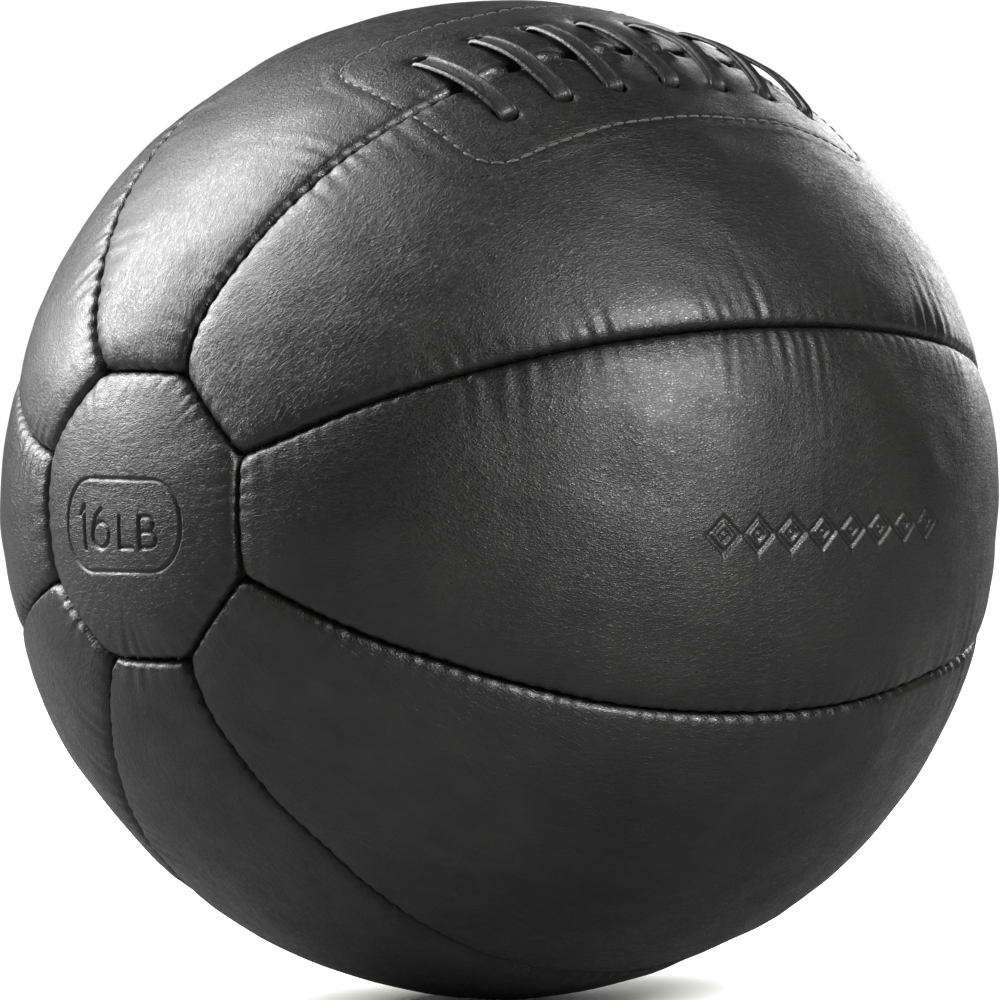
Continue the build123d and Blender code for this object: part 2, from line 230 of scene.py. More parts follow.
@dataclass(frozen=True)
class SewnShape:
    """Where the panels end up once they are sewn by hand and stuffed.

    Each seam runs off its meridian by a few millimetres. run_off holds, for each seam, how far it lies
    towards a rising turn at each of the places in stations, measured over the curve from the middle.
    """

    cut: Cut
    stations: tuple = (-192, -180, -150, -120, -60, 0, 60, 120, 180)
    run_off: tuple = (
        (-0.8, -4.8, -7.4, -9.0, -7.0, -4.0, -1.0, 0, 0),
        (-0.1, -3.6, -5.3, -4.4, 1.5, 7.0, 9.5, 7.0, 2.5),
        (-1.7, -1.4, -2.3, -2.6, -1.5, 1.1, 2.1, 1.5, 0.5),
        (-1.7, -1.2, 0.9, 1.6, 2.4, -0.5, -4.4, -3.0, -1.0),
        (-1.2, 1.0, 2.0, 1.3, 6.0, 3.6, 1.0, 0, 0),
        (-1.4, -0.7, 2.1, 4.0, 3.0, 1.5, 0, 0, 0),
        (-3.4, -3.0, -2.2, -1.5, -1.0, 0, 1.0, 1.0, 0),
        (-0.7, -2.6, -2.6, -1.5, 0, 1.0, 1.0, 0, 0),
    )

    def seam_offset(self, tilt: Array, turn: Array) -> Array:
        """How far the cover has run off towards a rising turn, between and on the seams."""
        place = np.clip((tilt - math.pi / 2) * self.cut.radius, self.stations[0], self.stations[-1])
        knots = np.array(self.stations, float)
        values = np.array(self.run_off)
        slopes = np.gradient(values, knots, axis=1)
        span = np.clip(np.searchsorted(knots, place, side="right") - 1, 0, len(knots) - 2)
        width = knots[span + 1] - knots[span]
        t = (place - knots[span]) / width
        ease = (2 * t**3 - 3 * t**2 + 1, t**3 - 2 * t**2 + t, -2 * t**3 + 3 * t**2, t**3 - t**2)
        seam = (turn / (2 * self.cut.half_gore) + 0.5) % self.cut.gores
        before = np.floor(seam).astype(int) % self.cut.gores
        after = (before + 1) % self.cut.gores
        blend = smooth_step(seam - np.floor(seam), 0, 1)

        def at(number: Array) -> Array:
            """Offset of one seam at each place."""
            return (ease[0] * values[number, span] + ease[1] * width * slopes[number, span]
                    + ease[2] * values[number, span + 1] + ease[3] * width * slopes[number, span + 1])

        return at(before) * (1 - blend) + at(after) * blend

    def place(self, directions: Array) -> Array:
        """Move directions as cut to where they lie on the sewn ball.

        Args:
            directions: Unit directions on the ball as it is cut.

        Returns:
            Unit directions on the ball as it is sewn.
        """
        tilt, turn = Cut.angles(directions)
        inside_cap = np.minimum(np.sin(tilt) / math.sin(self.cut.cap_corner), 1)
        around = self.seam_offset(tilt, turn) * inside_cap
        crossways = np.stack((np.zeros_like(turn), -np.cos(turn), -np.sin(turn)), axis=-1)
        return unit(directions + crossways * around[..., None] / self.cut.radius)


@dataclass(frozen=True)
class Slit:
    """The laced slit and what lies along it, over the curve from the lacing's middle."""

    cut: Cut
    shift: float = -6.0  # of the lacing's middle from the ball's, towards the marked cap
    bars: int = 7
    pitch: float = 19.8  # between two bars
    hole_rows: float = 41.0  # between the two rows of lace holes
    hole: float = 6.9  # across one hole
    overrun: float = 7.1  # of the slit past the last bar
    allowance_relief: float = 8.0  # how far past the slit the seam allowance is cut away
    facing_overrun: float = 18.5
    facing_reach: float = 44.0  # across the slit
    facing_corner: float = 17.0
    stitch_inset: float = 5.0  # of the stitches from the facings' outline
    stitch_start: float = 5.5  # across the slit

    @property
    def half_length(self) -> float:
        """Half the slit's length."""
        return (self.bars - 1) * self.pitch / 2 + self.overrun

    @property
    def facing_half(self) -> float:
        """Half the facings' length."""
        return self.half_length + self.facing_overrun

    @property
    def places(self) -> list[float]:
        """Where the bars lie along the slit."""
        return [(i - (self.bars - 1) / 2) * self.pitch for i in range(self.bars)]

    @property
    def axes(self) -> tuple[Array, Array]:
        """Directions out to the middle of the slit's seam, and across it."""
        crossways = np.array((0, -math.cos(self.cut.half_gore), -math.sin(self.cut.half_gore)))
        return Cut.direction(math.pi / 2, self.cut.half_gore), crossways

    def direction(self, along: Array, across: Array) -> Array:
        """Unit direction to a place beside the slit, on the ball as cut."""
        a, b = np.broadcast_arrays((self.shift + np.asarray(along)) / self.cut.radius,
                                   np.asarray(across) / self.cut.radius)
        seam, crossways = self.axes
        on_seam = np.cos(a)[..., None] * seam + np.sin(a)[..., None] * np.array((1.0, 0, 0))
        return on_seam * np.cos(b)[..., None] + crossways * np.sin(b)[..., None]

    def coordinates(self, directions: Array) -> tuple[Array, Array]:
        """Distances along and across the slit of directions on the ball as cut."""
        seam, crossways = self.axes
        across = np.arcsin(np.clip(directions @ crossways, -1, 1)) * self.cut.radius
        along = np.arctan2(directions[..., 0], directions @ seam) * self.cut.radius - self.shift
        return along, across

    def outline_distance(self, along: Array, across: Array, inset: float = 0.0) -> Array:
        """Signed distance from the facings' outline, or from a line inside it; negative is inside."""
        half_size = (self.facing_half - inset, self.facing_reach - inset)
        return rounded_distance(along, across, half_size, self.facing_corner - inset)


@dataclass(frozen=True)
class SeamPull:
    """How a seam's stitches draw in the leather beside it, in millimetres. A fade is the distance over which
    an effect drops to about a third."""

    pitch: float = 5.6
    uneven: float = 0.25  # of the stitches' places, as a share of the pitch
    dimple: float = 0.75  # depth beside each stitch
    dimple_varies: float = 0.3
    dimple_fade: float = 2.6
    pucker: float = 0.40  # height of the small folds across the seam
    pucker_lean: float = 0.12
    pucker_start: float = 1.6
    shortest_pucker: float = 3.0
    pucker_grows: float = 5.5  # with its strength
    usual_strength: float = 0.45
    strength_varies: float = 0.62
    gather_strength: float = 0.8
    broad_sink: float = 1.0
    broad_fade: float = 8.0
    near_sink: float = 0.8
    near_fade: float = 2.2
    # Where the maker has gathered more leather: seam, side, middle along the seam and half length.
    gathers: tuple = ((2, 1, -33.0, 13.0), (2, 0, -12.0, 7.0), (3, 0, 84.0, 20.0), (3, 1, 84.0, 20.0),
                      (2, 1, 66.0, 12.0), (5, 0, -160.0, 22.0))


@dataclass(frozen=True)
class LacingPull:
    """How the facings and the lace shape the leather beside the slit, in millimetres."""

    backed: float = 0.22  # raised by a facing behind it
    stitch_groove: float = 0.35
    groove_width: float = 0.9
    lip_place: float = 2.6  # the slit's lips, pressed down by the bars and proud between them
    lip_width: float = 2.6
    lip_under_bar: float = 0.25
    lip_between: float = 1.15
    bar_sink: float = 0.5
    bar_sink_width: float = 13.0
    hole_sink: float = 0.85
    hole_sink_width: float = 5.2


@dataclass
class Relief:
    """Height of the leather's outer face over the ball, in millimetres: everything that stuffing, seams,
    stitches and presses do to it. stuffed holds the cloth simulation's heights on a grid of tilt and turn."""

    cut: Cut
    slit: Slit
    stuffed: Array | None
    seam: SeamPull = SeamPull()
    laced: LacingPull = LacingPull()
    broad_height: float = 0.42
    lump_height: float = 0.11

    def __post_init__(self) -> None:
        """Draw the random fields."""
        rng = np.random.default_rng(SEED)
        gores = self.cut.gores
        self.broad = Ripple(rng, 45, 95, 3)
        self.lumps = Ripple(rng, 13, 26, 3)
        self.puckers = [Ripple(rng, 4.6, 8.5, 1) for _ in range(4 * gores)]
        self.pucker_strength = [Ripple(rng, 35, 90, 1, 6) for _ in range(4 * gores)]
        self.stitch_jitter = [Ripple(rng, 14, 40, 1, 8) for _ in range(3 * gores)]

    def body(self, directions: Array) -> Array:
        """Broad unevenness of the stuffing under the leather."""
        points = directions * self.cut.radius
        height = self.broad_height * self.broad(points) + self.lump_height * self.lumps(points)
        if self.stuffed is not None:
            height = height + self.simulated(directions)
        return height

    def simulated(self, directions: Array) -> Array:
        """Height of the simulated cover, read between the points of its grid."""
        rows, columns = self.stuffed.shape
        tilt, turn = Cut.angles(directions)
        tilt, turn = tilt / math.pi * (rows - 1), turn / (2 * math.pi) * columns % columns
        row = np.clip(np.floor(tilt).astype(int), 0, rows - 2)
        column = np.floor(turn).astype(int) % columns
        a, b = tilt - row, turn - np.floor(turn)
        following = (column + 1) % columns
        low = self.stuffed[row, column] * (1 - b) + self.stuffed[row, following] * b
        high = self.stuffed[row + 1, column] * (1 - b) + self.stuffed[row + 1, following] * b
        return low * (1 - a) + high * a

    def seam_pull(self, distance: Array, along: Array, seam: int, side: int, tight: float = 1.0) -> Array:
        """What a seam does to the leather beside it.

        Args:
            distance: Distance from the seam.
            along: Distance along the seam.
            seam: The seam's number.
            side: 0 or 1, for the two sides of the seam.
            tight: How hard the stitches pull here.

        Returns:
            Height of the leather over its middle.
        """
        pull = self.seam
        jitter = self.stitch_jitter[seam](along)
        stitch = 0.5 + 0.5 * np.cos(2 * math.pi * (along / pull.pitch + pull.uneven * jitter))
        depth = pull.dimple * (1 + pull.dimple_varies * jitter)
        dimple = depth * stitch**2 * np.exp(-distance / pull.dimple_fade)
        ridges = self.puckers[2 * seam + side](along + pull.pucker_lean * distance)
        varied = pull.strength_varies * self.pucker_strength[2 * seam + side](along)
        strength = np.clip(pull.usual_strength + varied, 0.05, 1.1)
        for where, which, middle, half in pull.gathers:
            if (where, which) == (seam, side):
                strength = strength + pull.gather_strength * np.exp(-((along - middle) / half) ** 2)
        reach = pull.shortest_pucker + pull.pucker_grows * strength
        pucker = pull.pucker * strength * ridges * np.exp(-distance / reach)
        pucker = pucker * (1 - np.exp(-distance / pull.pucker_start))
        sink = (pull.broad_sink * np.exp(-distance / pull.broad_fade)
                + pull.near_sink * np.exp(-distance / pull.near_fade))
        return (pucker - dimple) * tight - sink

    def lacing(self, directions: Array) -> Array:
        """What the facings, their stitching and the lace do to the leather beside the slit."""
        slit, pull = self.slit, self.laced
        along, across = slit.coordinates(directions)
        backed = 1 - smooth_step(slit.outline_distance(along, across), -0.8, 1.2)
        stitched = slit.outline_distance(along, across, slit.stitch_inset)
        groove = np.exp(-(stitched / pull.groove_width) ** 2) * (np.abs(across) > slit.stitch_start - 2)
        height = pull.backed * backed - pull.stitch_groove * groove
        inside = 1 - smooth_step(np.abs(along), slit.half_length - 4, slit.half_length + 6)
        between = 0.5 - 0.5 * np.cos(2 * math.pi * (along / slit.pitch + (slit.bars + 1) % 2 / 2))
        lip = np.exp(-((np.abs(across) - pull.lip_place) / pull.lip_width) ** 2)
        height = height + inside * lip * (pull.lip_under_bar + pull.lip_between * between)
        pressed = (1 - between) * np.exp(-(across / pull.bar_sink_width) ** 2)
        height = height - inside * pull.bar_sink * pressed
        for place in slit.places:
            distance = np.hypot(along - place, np.abs(across) - slit.hole_rows / 2)
            height = height - pull.hole_sink * np.exp(-(distance / pull.hole_sink_width) ** 2)
        return height


# ---- mesh making


@dataclass
class Skin:
    """Closed leather panel in the making: points in millimetres, faces, and where each point lies on the cut
    panel, which its pattern follows."""

    points: list = field(default_factory=list)
    faces: list = field(default_factory=list)
    layout: list = field(default_factory=list)
    rims: list = field(default_factory=list)
    count: int = 0

    def add(self, points: Array, layout: Array, rim: Array) -> Array:
        """Add points and give their numbers.

        Args:
            points: Places of the points.
            layout: Two coordinates on the cut panel for each point.
            rim: How near each point is to a seam, from 0 to 1.

        Returns:
            The new points' numbers, in the shape that the points came in.
        """
        shape = points.shape[:-1]
        total = int(np.prod(shape))
        self.points.append(points.reshape(total, 3))
        self.layout.append(layout.reshape(total, 2))
        self.rims.append(np.broadcast_to(rim, shape).reshape(total))
        numbers = np.arange(self.count, self.count + total).reshape(shape)
        self.count += total
        return numbers

    def bridge(self, first: Array, second: Array, closed: bool) -> None:
        """Join two rows of points with four-sided faces."""
        if closed:
            first, second = np.append(first, first[:1]), np.append(second, second[:1])
        quads = np.stack((first[:-1], first[1:], second[1:], second[:-1]), axis=1)
        self.faces.extend(map(tuple, quads.tolist()))

    def mesh(self, name: str) -> bpy.types.Object:
        """Make the object, with its layout as a UV map and its rims as an attribute.

        Args:
            name: The object's name.

        Returns:
            The object, linked to the scene, with its faces pointing outwards.
        """
        points = np.concatenate(self.points) * MM
        layout = np.concatenate(self.layout) * MM
        rims = np.concatenate(self.rims)
        mesh = bpy.data.meshes.new(name)
        mesh.from_pydata(points.tolist(), [], self.faces)
        corners = np.empty(len(mesh.loops), int)
        mesh.loops.foreach_get("vertex_index", corners)
        mesh.uv_layers.new(name="panel").data.foreach_set("uv", layout[corners].ravel())
        mesh.attributes.new("rim", "FLOAT", "POINT").data.foreach_set("value", rims)
        work = bmesh.new()
        work.from_mesh(mesh)
        bmesh.ops.remove_doubles(work, verts=work.verts, dist=0.004 * MM)
        bmesh.ops.dissolve_degenerate(work, dist=0.002 * MM, edges=work.edges)
        bmesh.ops.delete(work, geom=[v for v in work.verts if not v.link_faces], context="VERTS")
        bmesh.ops.recalc_face_normals(work, faces=work.faces)
        for face in work.faces:
            face.smooth = True
        work.to_mesh(mesh)
        work.free()
        return link_object(name, mesh)


@dataclass
class Panel:
    """What gores and caps share: a rolled edge, a turned-in allowance and an inner face."""

    name: str
    node: str
    cut: Cut
    shape: SewnShape
    relief: Relief
    roll: float = 2.6  # radius of the leather where it turns in at a seam
    roll_steps: int = 8
    sunk: float = 0.9  # of the inner face below its middle, as the seams pull it in
    rim_fade: float = 3.0  # of the polish that handling gives a seam's edges
    cap_tightness: float = 0.7  # of a cap's stitches, next to a long seam's

    def near_seam(self) -> Array:
        """Distances from the seam of the rows that make the rolled edge."""
        turns = np.linspace(math.pi / 2, 0, self.roll_steps)
        rolled = self.cut.seam_gap / 2 + self.roll * (1 - np.sin(turns))
        return np.append(rolled, self.cut.seam_gap / 2 + self.roll * np.array((1.35, 1.8)))

    def rolled_drop(self, *distances: Array) -> Array:
        """How far the leather has turned in at these distances from its edges."""
        short = [np.clip((self.roll - (d - self.cut.seam_gap / 2)) / self.roll, 0, 1) for d in distances]
        return self.roll * (1 - np.sqrt(np.clip(1 - sum(s**2 for s in short), 0, 1)))

    def close(self, skin: Skin, loop: Array, rings: list, inner: tuple, holes: list | None = None) -> None:
        """Close a panel behind its outer face.

        Args:
            skin: The panel so far.
            loop: Numbers of the points round the outer face.
            rings: Points and layout of each further ring, from the outside in.
            inner: Coarse points and layout that lie inside the last ring.
            holes: A loop and its rings for each hole through the panel.
        """
        loops, layouts, edges = [], [], []
        for rim, further in [(loop, rings), *(holes or [])]:
            for points, layout in further:
                ring = skin.add(points, layout, 1.0)
                skin.bridge(rim, ring, closed=True)
                rim = ring
            first = sum(len(other) for other in loops)
            edges += [(first + i, first + (i + 1) % len(rim)) for i in range(len(rim))]
            loops.append(rim)
            layouts.append(layout)
        numbers = np.concatenate((*loops, skin.add(inner[0], inner[1], 0.0)))
        owners = np.repeat(np.arange(len(loops) + 1), [len(other) for other in loops] + [len(inner[0])])
        flat = [Vector(p) for p in np.concatenate((*layouts, inner[1])).tolist()]
        _, _, faces, originals, _, _ = delaunay_2d_cdt(flat, edges, [], 1, 1e-5)
        for face in faces:
            corners = [originals[i][0] for i in face]
            owner = {int(owners[i]) for i in corners}
            if len(owner) > 1 or owner == {0} or owner == {len(loops)}:
                skin.faces.append(tuple(int(numbers[i]) for i in corners))


@dataclass
class Gore(Panel):
    """One of the eight strips between the caps."""

    number: int = 0
    fine_first: float = 0.0  # width beside the first seam that needs a fine mesh
    fine_last: float = 0.0
    lozenges: "LozengeRow | None" = None
    row_step: float = 1.15  # between two rows of the outer face
    fine_step: float = 1.0  # between two columns beside the lacing
    first_step: float = 0.9  # between two columns beside a plain seam, growing from there
    step_growth: float = 0.045
    widest_step: float = 2.2
    inner_rows: int = 14  # rows of the outer face for each row of the inner one
    inner_columns: int = 13
    inner_reach: float = 0.86  # of the inner columns, as a share of half the gore
    inner_margin: float = 5.0
    hole_wall: tuple = ((0.03, 0.25), (0.07, 0.8))  # how much a lace hole narrows, at these depths

    @property
    def laced(self) -> bool:
        """Whether the slit runs along one of the gore's edges."""
        return self.fine_first > 0 or self.fine_last > 0

    @property
    def middle_turn(self) -> float:
        """Turn about X of the gore's middle."""
        return 2 * self.cut.half_gore * self.number

    def columns(self) -> tuple[Array, Array]:
        """Distances of the columns from the first seam to the middle, and on to the last seam.

        Returns:
            For each half, its fixed distances near the seam and the shares of what is left.
        """
        reach = self.cut.radius * self.cut.half_gore
        near = self.near_seam()
        halves = []
        for fine in (self.fine_first, self.fine_last):
            def step(x: float, fine: float = fine) -> float:
                """Spacing of the columns at this distance from the seam."""
                centre_gap = reach - near[-1] - x
                if self.lozenges and centre_gap < self.lozenges.reach_across:
                    return self.lozenges.mesh_step
                grown = min(self.first_step + x * self.step_growth, self.widest_step)
                return self.fine_step if x < fine else grown
            halves.append(graded(reach - near[-1], step)[1:] / (reach - near[-1]))
        return halves[0], halves[1]

    def rows(self) -> Array:
        """Distances of the rows from the marked cap's edge, at the gore's middle."""
        length = self.cut.radius * (math.pi - 2 * self.cut.cap_flat)
        near = self.near_seam()

        def step(x: float) -> float:
            """Spacing of the rows at this distance from the first of them."""
            place = x + near[-1] - length / 2
            if self.lozenges and self.lozenges.start < place < self.lozenges.stop:
                return self.lozenges.mesh_step
            return self.row_step

        inner = near[-1] + graded(length - 2 * near[-1], step)[1:-1]
        return np.concatenate((near, inner, length - near[::-1]))

    def spread(self, rows: Array) -> tuple[Array, Array]:
        """Tilt and turn, from the gore's middle, of every point of the outer face.

        Args:
            rows: Distances of the rows from the marked cap's edge.

        Returns:
            The tilts and the turns, with a row for each row of the face.
        """
        half = self.cut.half_gore
        near = self.near_seam()
        share = rows[:, None] / (rows[0] + rows[-1])
        first, last = self.columns()
        middle = len(near) + len(first)
        turn = np.zeros((len(rows), middle + len(near) + len(last) - 1))
        for _ in range(4):
            edge = self.cut.cap_edge(turn)
            tilt = edge + share * (math.pi - 2 * edge)
            ring = self.cut.radius * np.sin(tilt)
            turn = np.concatenate((self.half_turn(ring[:, :middle], near, first) - half,
                                   half - self.half_turn(ring[:, middle:][:, ::-1], near, last[:-1])[:, ::-1]),
                                  axis=1)
        return tilt, turn

    def half_turn(self, ring: Array, near: Array, shares: Array) -> Array:
        """Turn from a seam of one half's columns: fixed distances first, then shares of what is left."""
        count = len(near)
        room = ring[:, count:] * self.cut.half_gore - near[-1]
        across = np.concatenate((np.broadcast_to(near, (len(ring), count)), near[-1] + room * shares), axis=1)
        return across / ring

    def height(self, directions: Array, to_sides: Array, to_marked: Array, to_plain: Array) -> Array:
        """Height of the outer face over the ball, its rolled edge included."""
        tilt, turn = Cut.angles(directions)
        along = (tilt - math.pi / 2) * self.cut.radius
        round_cap = (turn - self.middle_turn + math.pi) % (2 * math.pi) - math.pi
        on_edge = round_cap * self.cut.radius * math.sin(self.cut.cap_flat)
        gores = self.cut.gores
        height = self.relief.body(directions)
        height += self.relief.seam_pull(to_sides[0], along, self.number, 0)
        height += self.relief.seam_pull(to_sides[1], along, (self.number + 1) % gores, 1)
        height += self.relief.seam_pull(to_marked, on_edge, gores + self.number, 0, self.cap_tightness)
        height += self.relief.seam_pull(to_plain, on_edge, gores + self.number, 1, self.cap_tightness)
        if self.laced:
            height += self.relief.lacing(directions)
        if self.lozenges:
            middle = round_cap * self.cut.radius * np.sin(tilt)
            height += self.lozenges.depth_at(along, middle)
        return height - self.rolled_drop(to_sides[0], to_sides[1], to_marked, to_plain)

    def seam_edge(self, directions: Array) -> Array:
        """How far the seam allowance is cut away at each edge point, from 0 to 1 beside the slit."""
        along, across = self.relief.slit.coordinates(directions)
        beside = (np.abs(across) < 4) & (directions[..., 2] > 0)
        slit = self.relief.slit
        reach = slit.half_length + slit.allowance_relief
        return beside * (1 - smooth_step(np.abs(along), reach - 6, reach))

    def punch(self, directions: Array) -> tuple[Array, list]:
        """Draw the face's points onto the rims of the lace's holes.

        Args:
            directions: Points of the outer face, which are moved in place.

        Returns:
            Which four-sided faces are left, and rows and columns of the points round each hole.
        """
        slit = self.relief.slit
        along, across = slit.coordinates(directions)
        kept = np.ones((len(along) - 1, along.shape[1] - 1), bool)
        rims = []
        for place in slit.places:
            x, y = along - place, np.abs(across) - slit.hole_rows / 2
            hole = np.hypot(x, y) < slit.hole / 2
            cut = hole[:-1, :-1] | hole[1:, :-1] | hole[:-1, 1:] | hole[1:, 1:]
            touched = np.zeros_like(hole)
            for a, b in ((0, 0), (0, 1), (1, 0), (1, 1)):
                touched[a:a + cut.shape[0], b:b + cut.shape[1]] |= cut
            row, column = np.nonzero(touched & ~hole)
            angle = np.arctan2(y[row, column], x[row, column])
            order = np.argsort(angle)
            row, column, angle = row[order], column[order], angle[order]
            rim = (slit.hole_rows + slit.hole * np.sin(angle)) / 2 * np.sign(across[row, column])
            directions[row, column] = slit.direction(place + slit.hole / 2 * np.cos(angle), rim)
            kept &= ~cut
            rims.append((row, column))
        return kept, rims

    def layout(self, tilt: Array, turn: Array) -> Array:
        """Coordinates on the flat gore: along it and across it."""
        ring = self.cut.radius * np.sin(tilt)
        return np.stack(((tilt - math.pi / 2) * self.cut.radius, turn * ring), axis=-1)

    def hole_rings(self, directions: Array, top: Array) -> list:
        """Rings down the wall of one lace hole.

        Args:
            directions: Points of the rim, on the ball as cut.
            top: Their distance from the ball's centre.

        Returns:
            Points and layout of each ring.
        """
        tilt, turn = Cut.angles(directions)
        layout = self.layout(tilt, turn - self.middle_turn)
        out = self.shape.place(directions)
        middle = unit(out.mean(axis=0))
        rings = []
        for narrower, drop in (*self.hole_wall, (self.hole_wall[-1][0], self.cut.leather)):
            points = out * (top - drop)[:, None]
            centre = middle * np.mean(top - drop)
            rings.append((points + (centre - points) * narrower, layout))
        return rings

    def build(self) -> bpy.types.Object:
        """Make the gore's mesh, closed, with its layout and rims."""
        rows = self.rows()
        tilt, turn = self.spread(rows)
        directions = Cut.direction(tilt, turn + self.middle_turn)
        kept, rims = np.ones((len(rows) - 1, turn.shape[1] - 1), bool), []
        if self.laced:
            kept, rims = self.punch(directions)
            tilt, turn = Cut.angles(directions)
            turn = (turn - self.middle_turn + math.pi) % (2 * math.pi) - math.pi
        ring = self.cut.radius * np.sin(tilt)
        to_sides = np.stack(((turn + self.cut.half_gore) * ring, (self.cut.half_gore - turn) * ring))
        to_marked = np.broadcast_to(rows[:, None], turn.shape)
        to_plain = rows[0] + rows[-1] - to_marked
        height = self.height(directions, to_sides, to_marked, to_plain)
        layout = self.layout(tilt, turn)
        nearest = np.minimum(np.minimum(to_sides[0], to_sides[1]), np.minimum(to_marked, to_plain))
        skin = Skin()
        places = self.shape.place(directions) * (self.cut.radius + height)[..., None]
        numbers = skin.add(places, layout, np.exp(-nearest / self.rim_fade))
        corners = (numbers[:-1, :-1], numbers[:-1, 1:], numbers[1:, 1:], numbers[1:, :-1])
        skin.faces.extend(map(tuple, np.stack(corners, axis=-1)[kept].tolist()))
        holes = [(numbers[rim], self.hole_rings(directions[rim], self.cut.radius + height[rim]))
                 for rim in rims]

        edge_directions = border(directions)
        relieved = self.seam_edge(edge_directions) if self.laced else 0.0
        depth = self.cut.leather + self.cut.allowance_depth * (1 - relieved)
        inset = self.cut.seam_gap / 2 + self.cut.allowance_thickness
        half, length = self.cut.half_gore, rows[-1] + rows[0]
        share = np.clip(rows, inset, length - inset)[:, None] / length
        moved_edge = self.cut.cap_edge(turn)
        moved_tilt = moved_edge + share * (math.pi - 2 * moved_edge)
        ring = self.cut.radius * np.sin(moved_tilt)
        moved_turn = np.clip(turn, inset / ring - half, half - inset / ring)
        inner_directions = border(Cut.direction(moved_tilt, moved_turn + self.middle_turn))
        inner_layout = border(self.layout(moved_tilt, moved_turn))
        sewn_edge, sewn_inner = self.shape.place(edge_directions), self.shape.place(inner_directions)
        body = self.cut.radius + self.relief.body(edge_directions) - self.sunk
        inner_body = self.cut.radius + self.relief.body(inner_directions) - self.sunk
        margin = inset + self.inner_margin
        coarse = np.clip(rows[::self.inner_rows][1:-1], margin, length - margin)
        coarse_turn = np.linspace(-self.inner_reach, self.inner_reach, self.inner_columns) * half
        coarse_edge = self.cut.cap_edge(coarse_turn)[None, :]
        coarse_tilt = coarse_edge + coarse[:, None] / length * (math.pi - 2 * coarse_edge)
        coarse_turn = np.broadcast_to(coarse_turn, coarse_tilt.shape)
        coarse_direction = Cut.direction(coarse_tilt, coarse_turn + self.middle_turn)
        if self.laced:
            clear = self.hole_distance(coarse_direction) > self.relief.slit.hole
            coarse_tilt, coarse_turn = coarse_tilt[clear], coarse_turn[clear]
            coarse_direction = coarse_direction[clear]
        coarse_radius = self.cut.radius + self.relief.body(coarse_direction) - self.sunk - self.cut.leather
        coarse_points = (self.shape.place(coarse_direction) * coarse_radius[..., None]).reshape(-1, 3)
        coarse_layout = self.layout(coarse_tilt, coarse_turn).reshape(-1, 2)
        self.close(skin, border(numbers),
                   [(sewn_edge * (body - depth)[:, None], border(layout)),
                    (sewn_inner * (inner_body - depth)[:, None], inner_layout),
                    (sewn_inner * (inner_body - self.cut.leather)[:, None], inner_layout)],
                   (coarse_points, coarse_layout), holes)
        return skin.mesh(self.name)

    def hole_distance(self, directions: Array) -> Array:
        """Distance from the middle of the nearest lace hole."""
        slit = self.relief.slit
        along, across = slit.coordinates(directions)
        middles = np.array(slit.places)
        return np.hypot(np.abs(along[..., None] - middles).min(axis=-1), np.abs(across) - slit.hole_rows / 2)


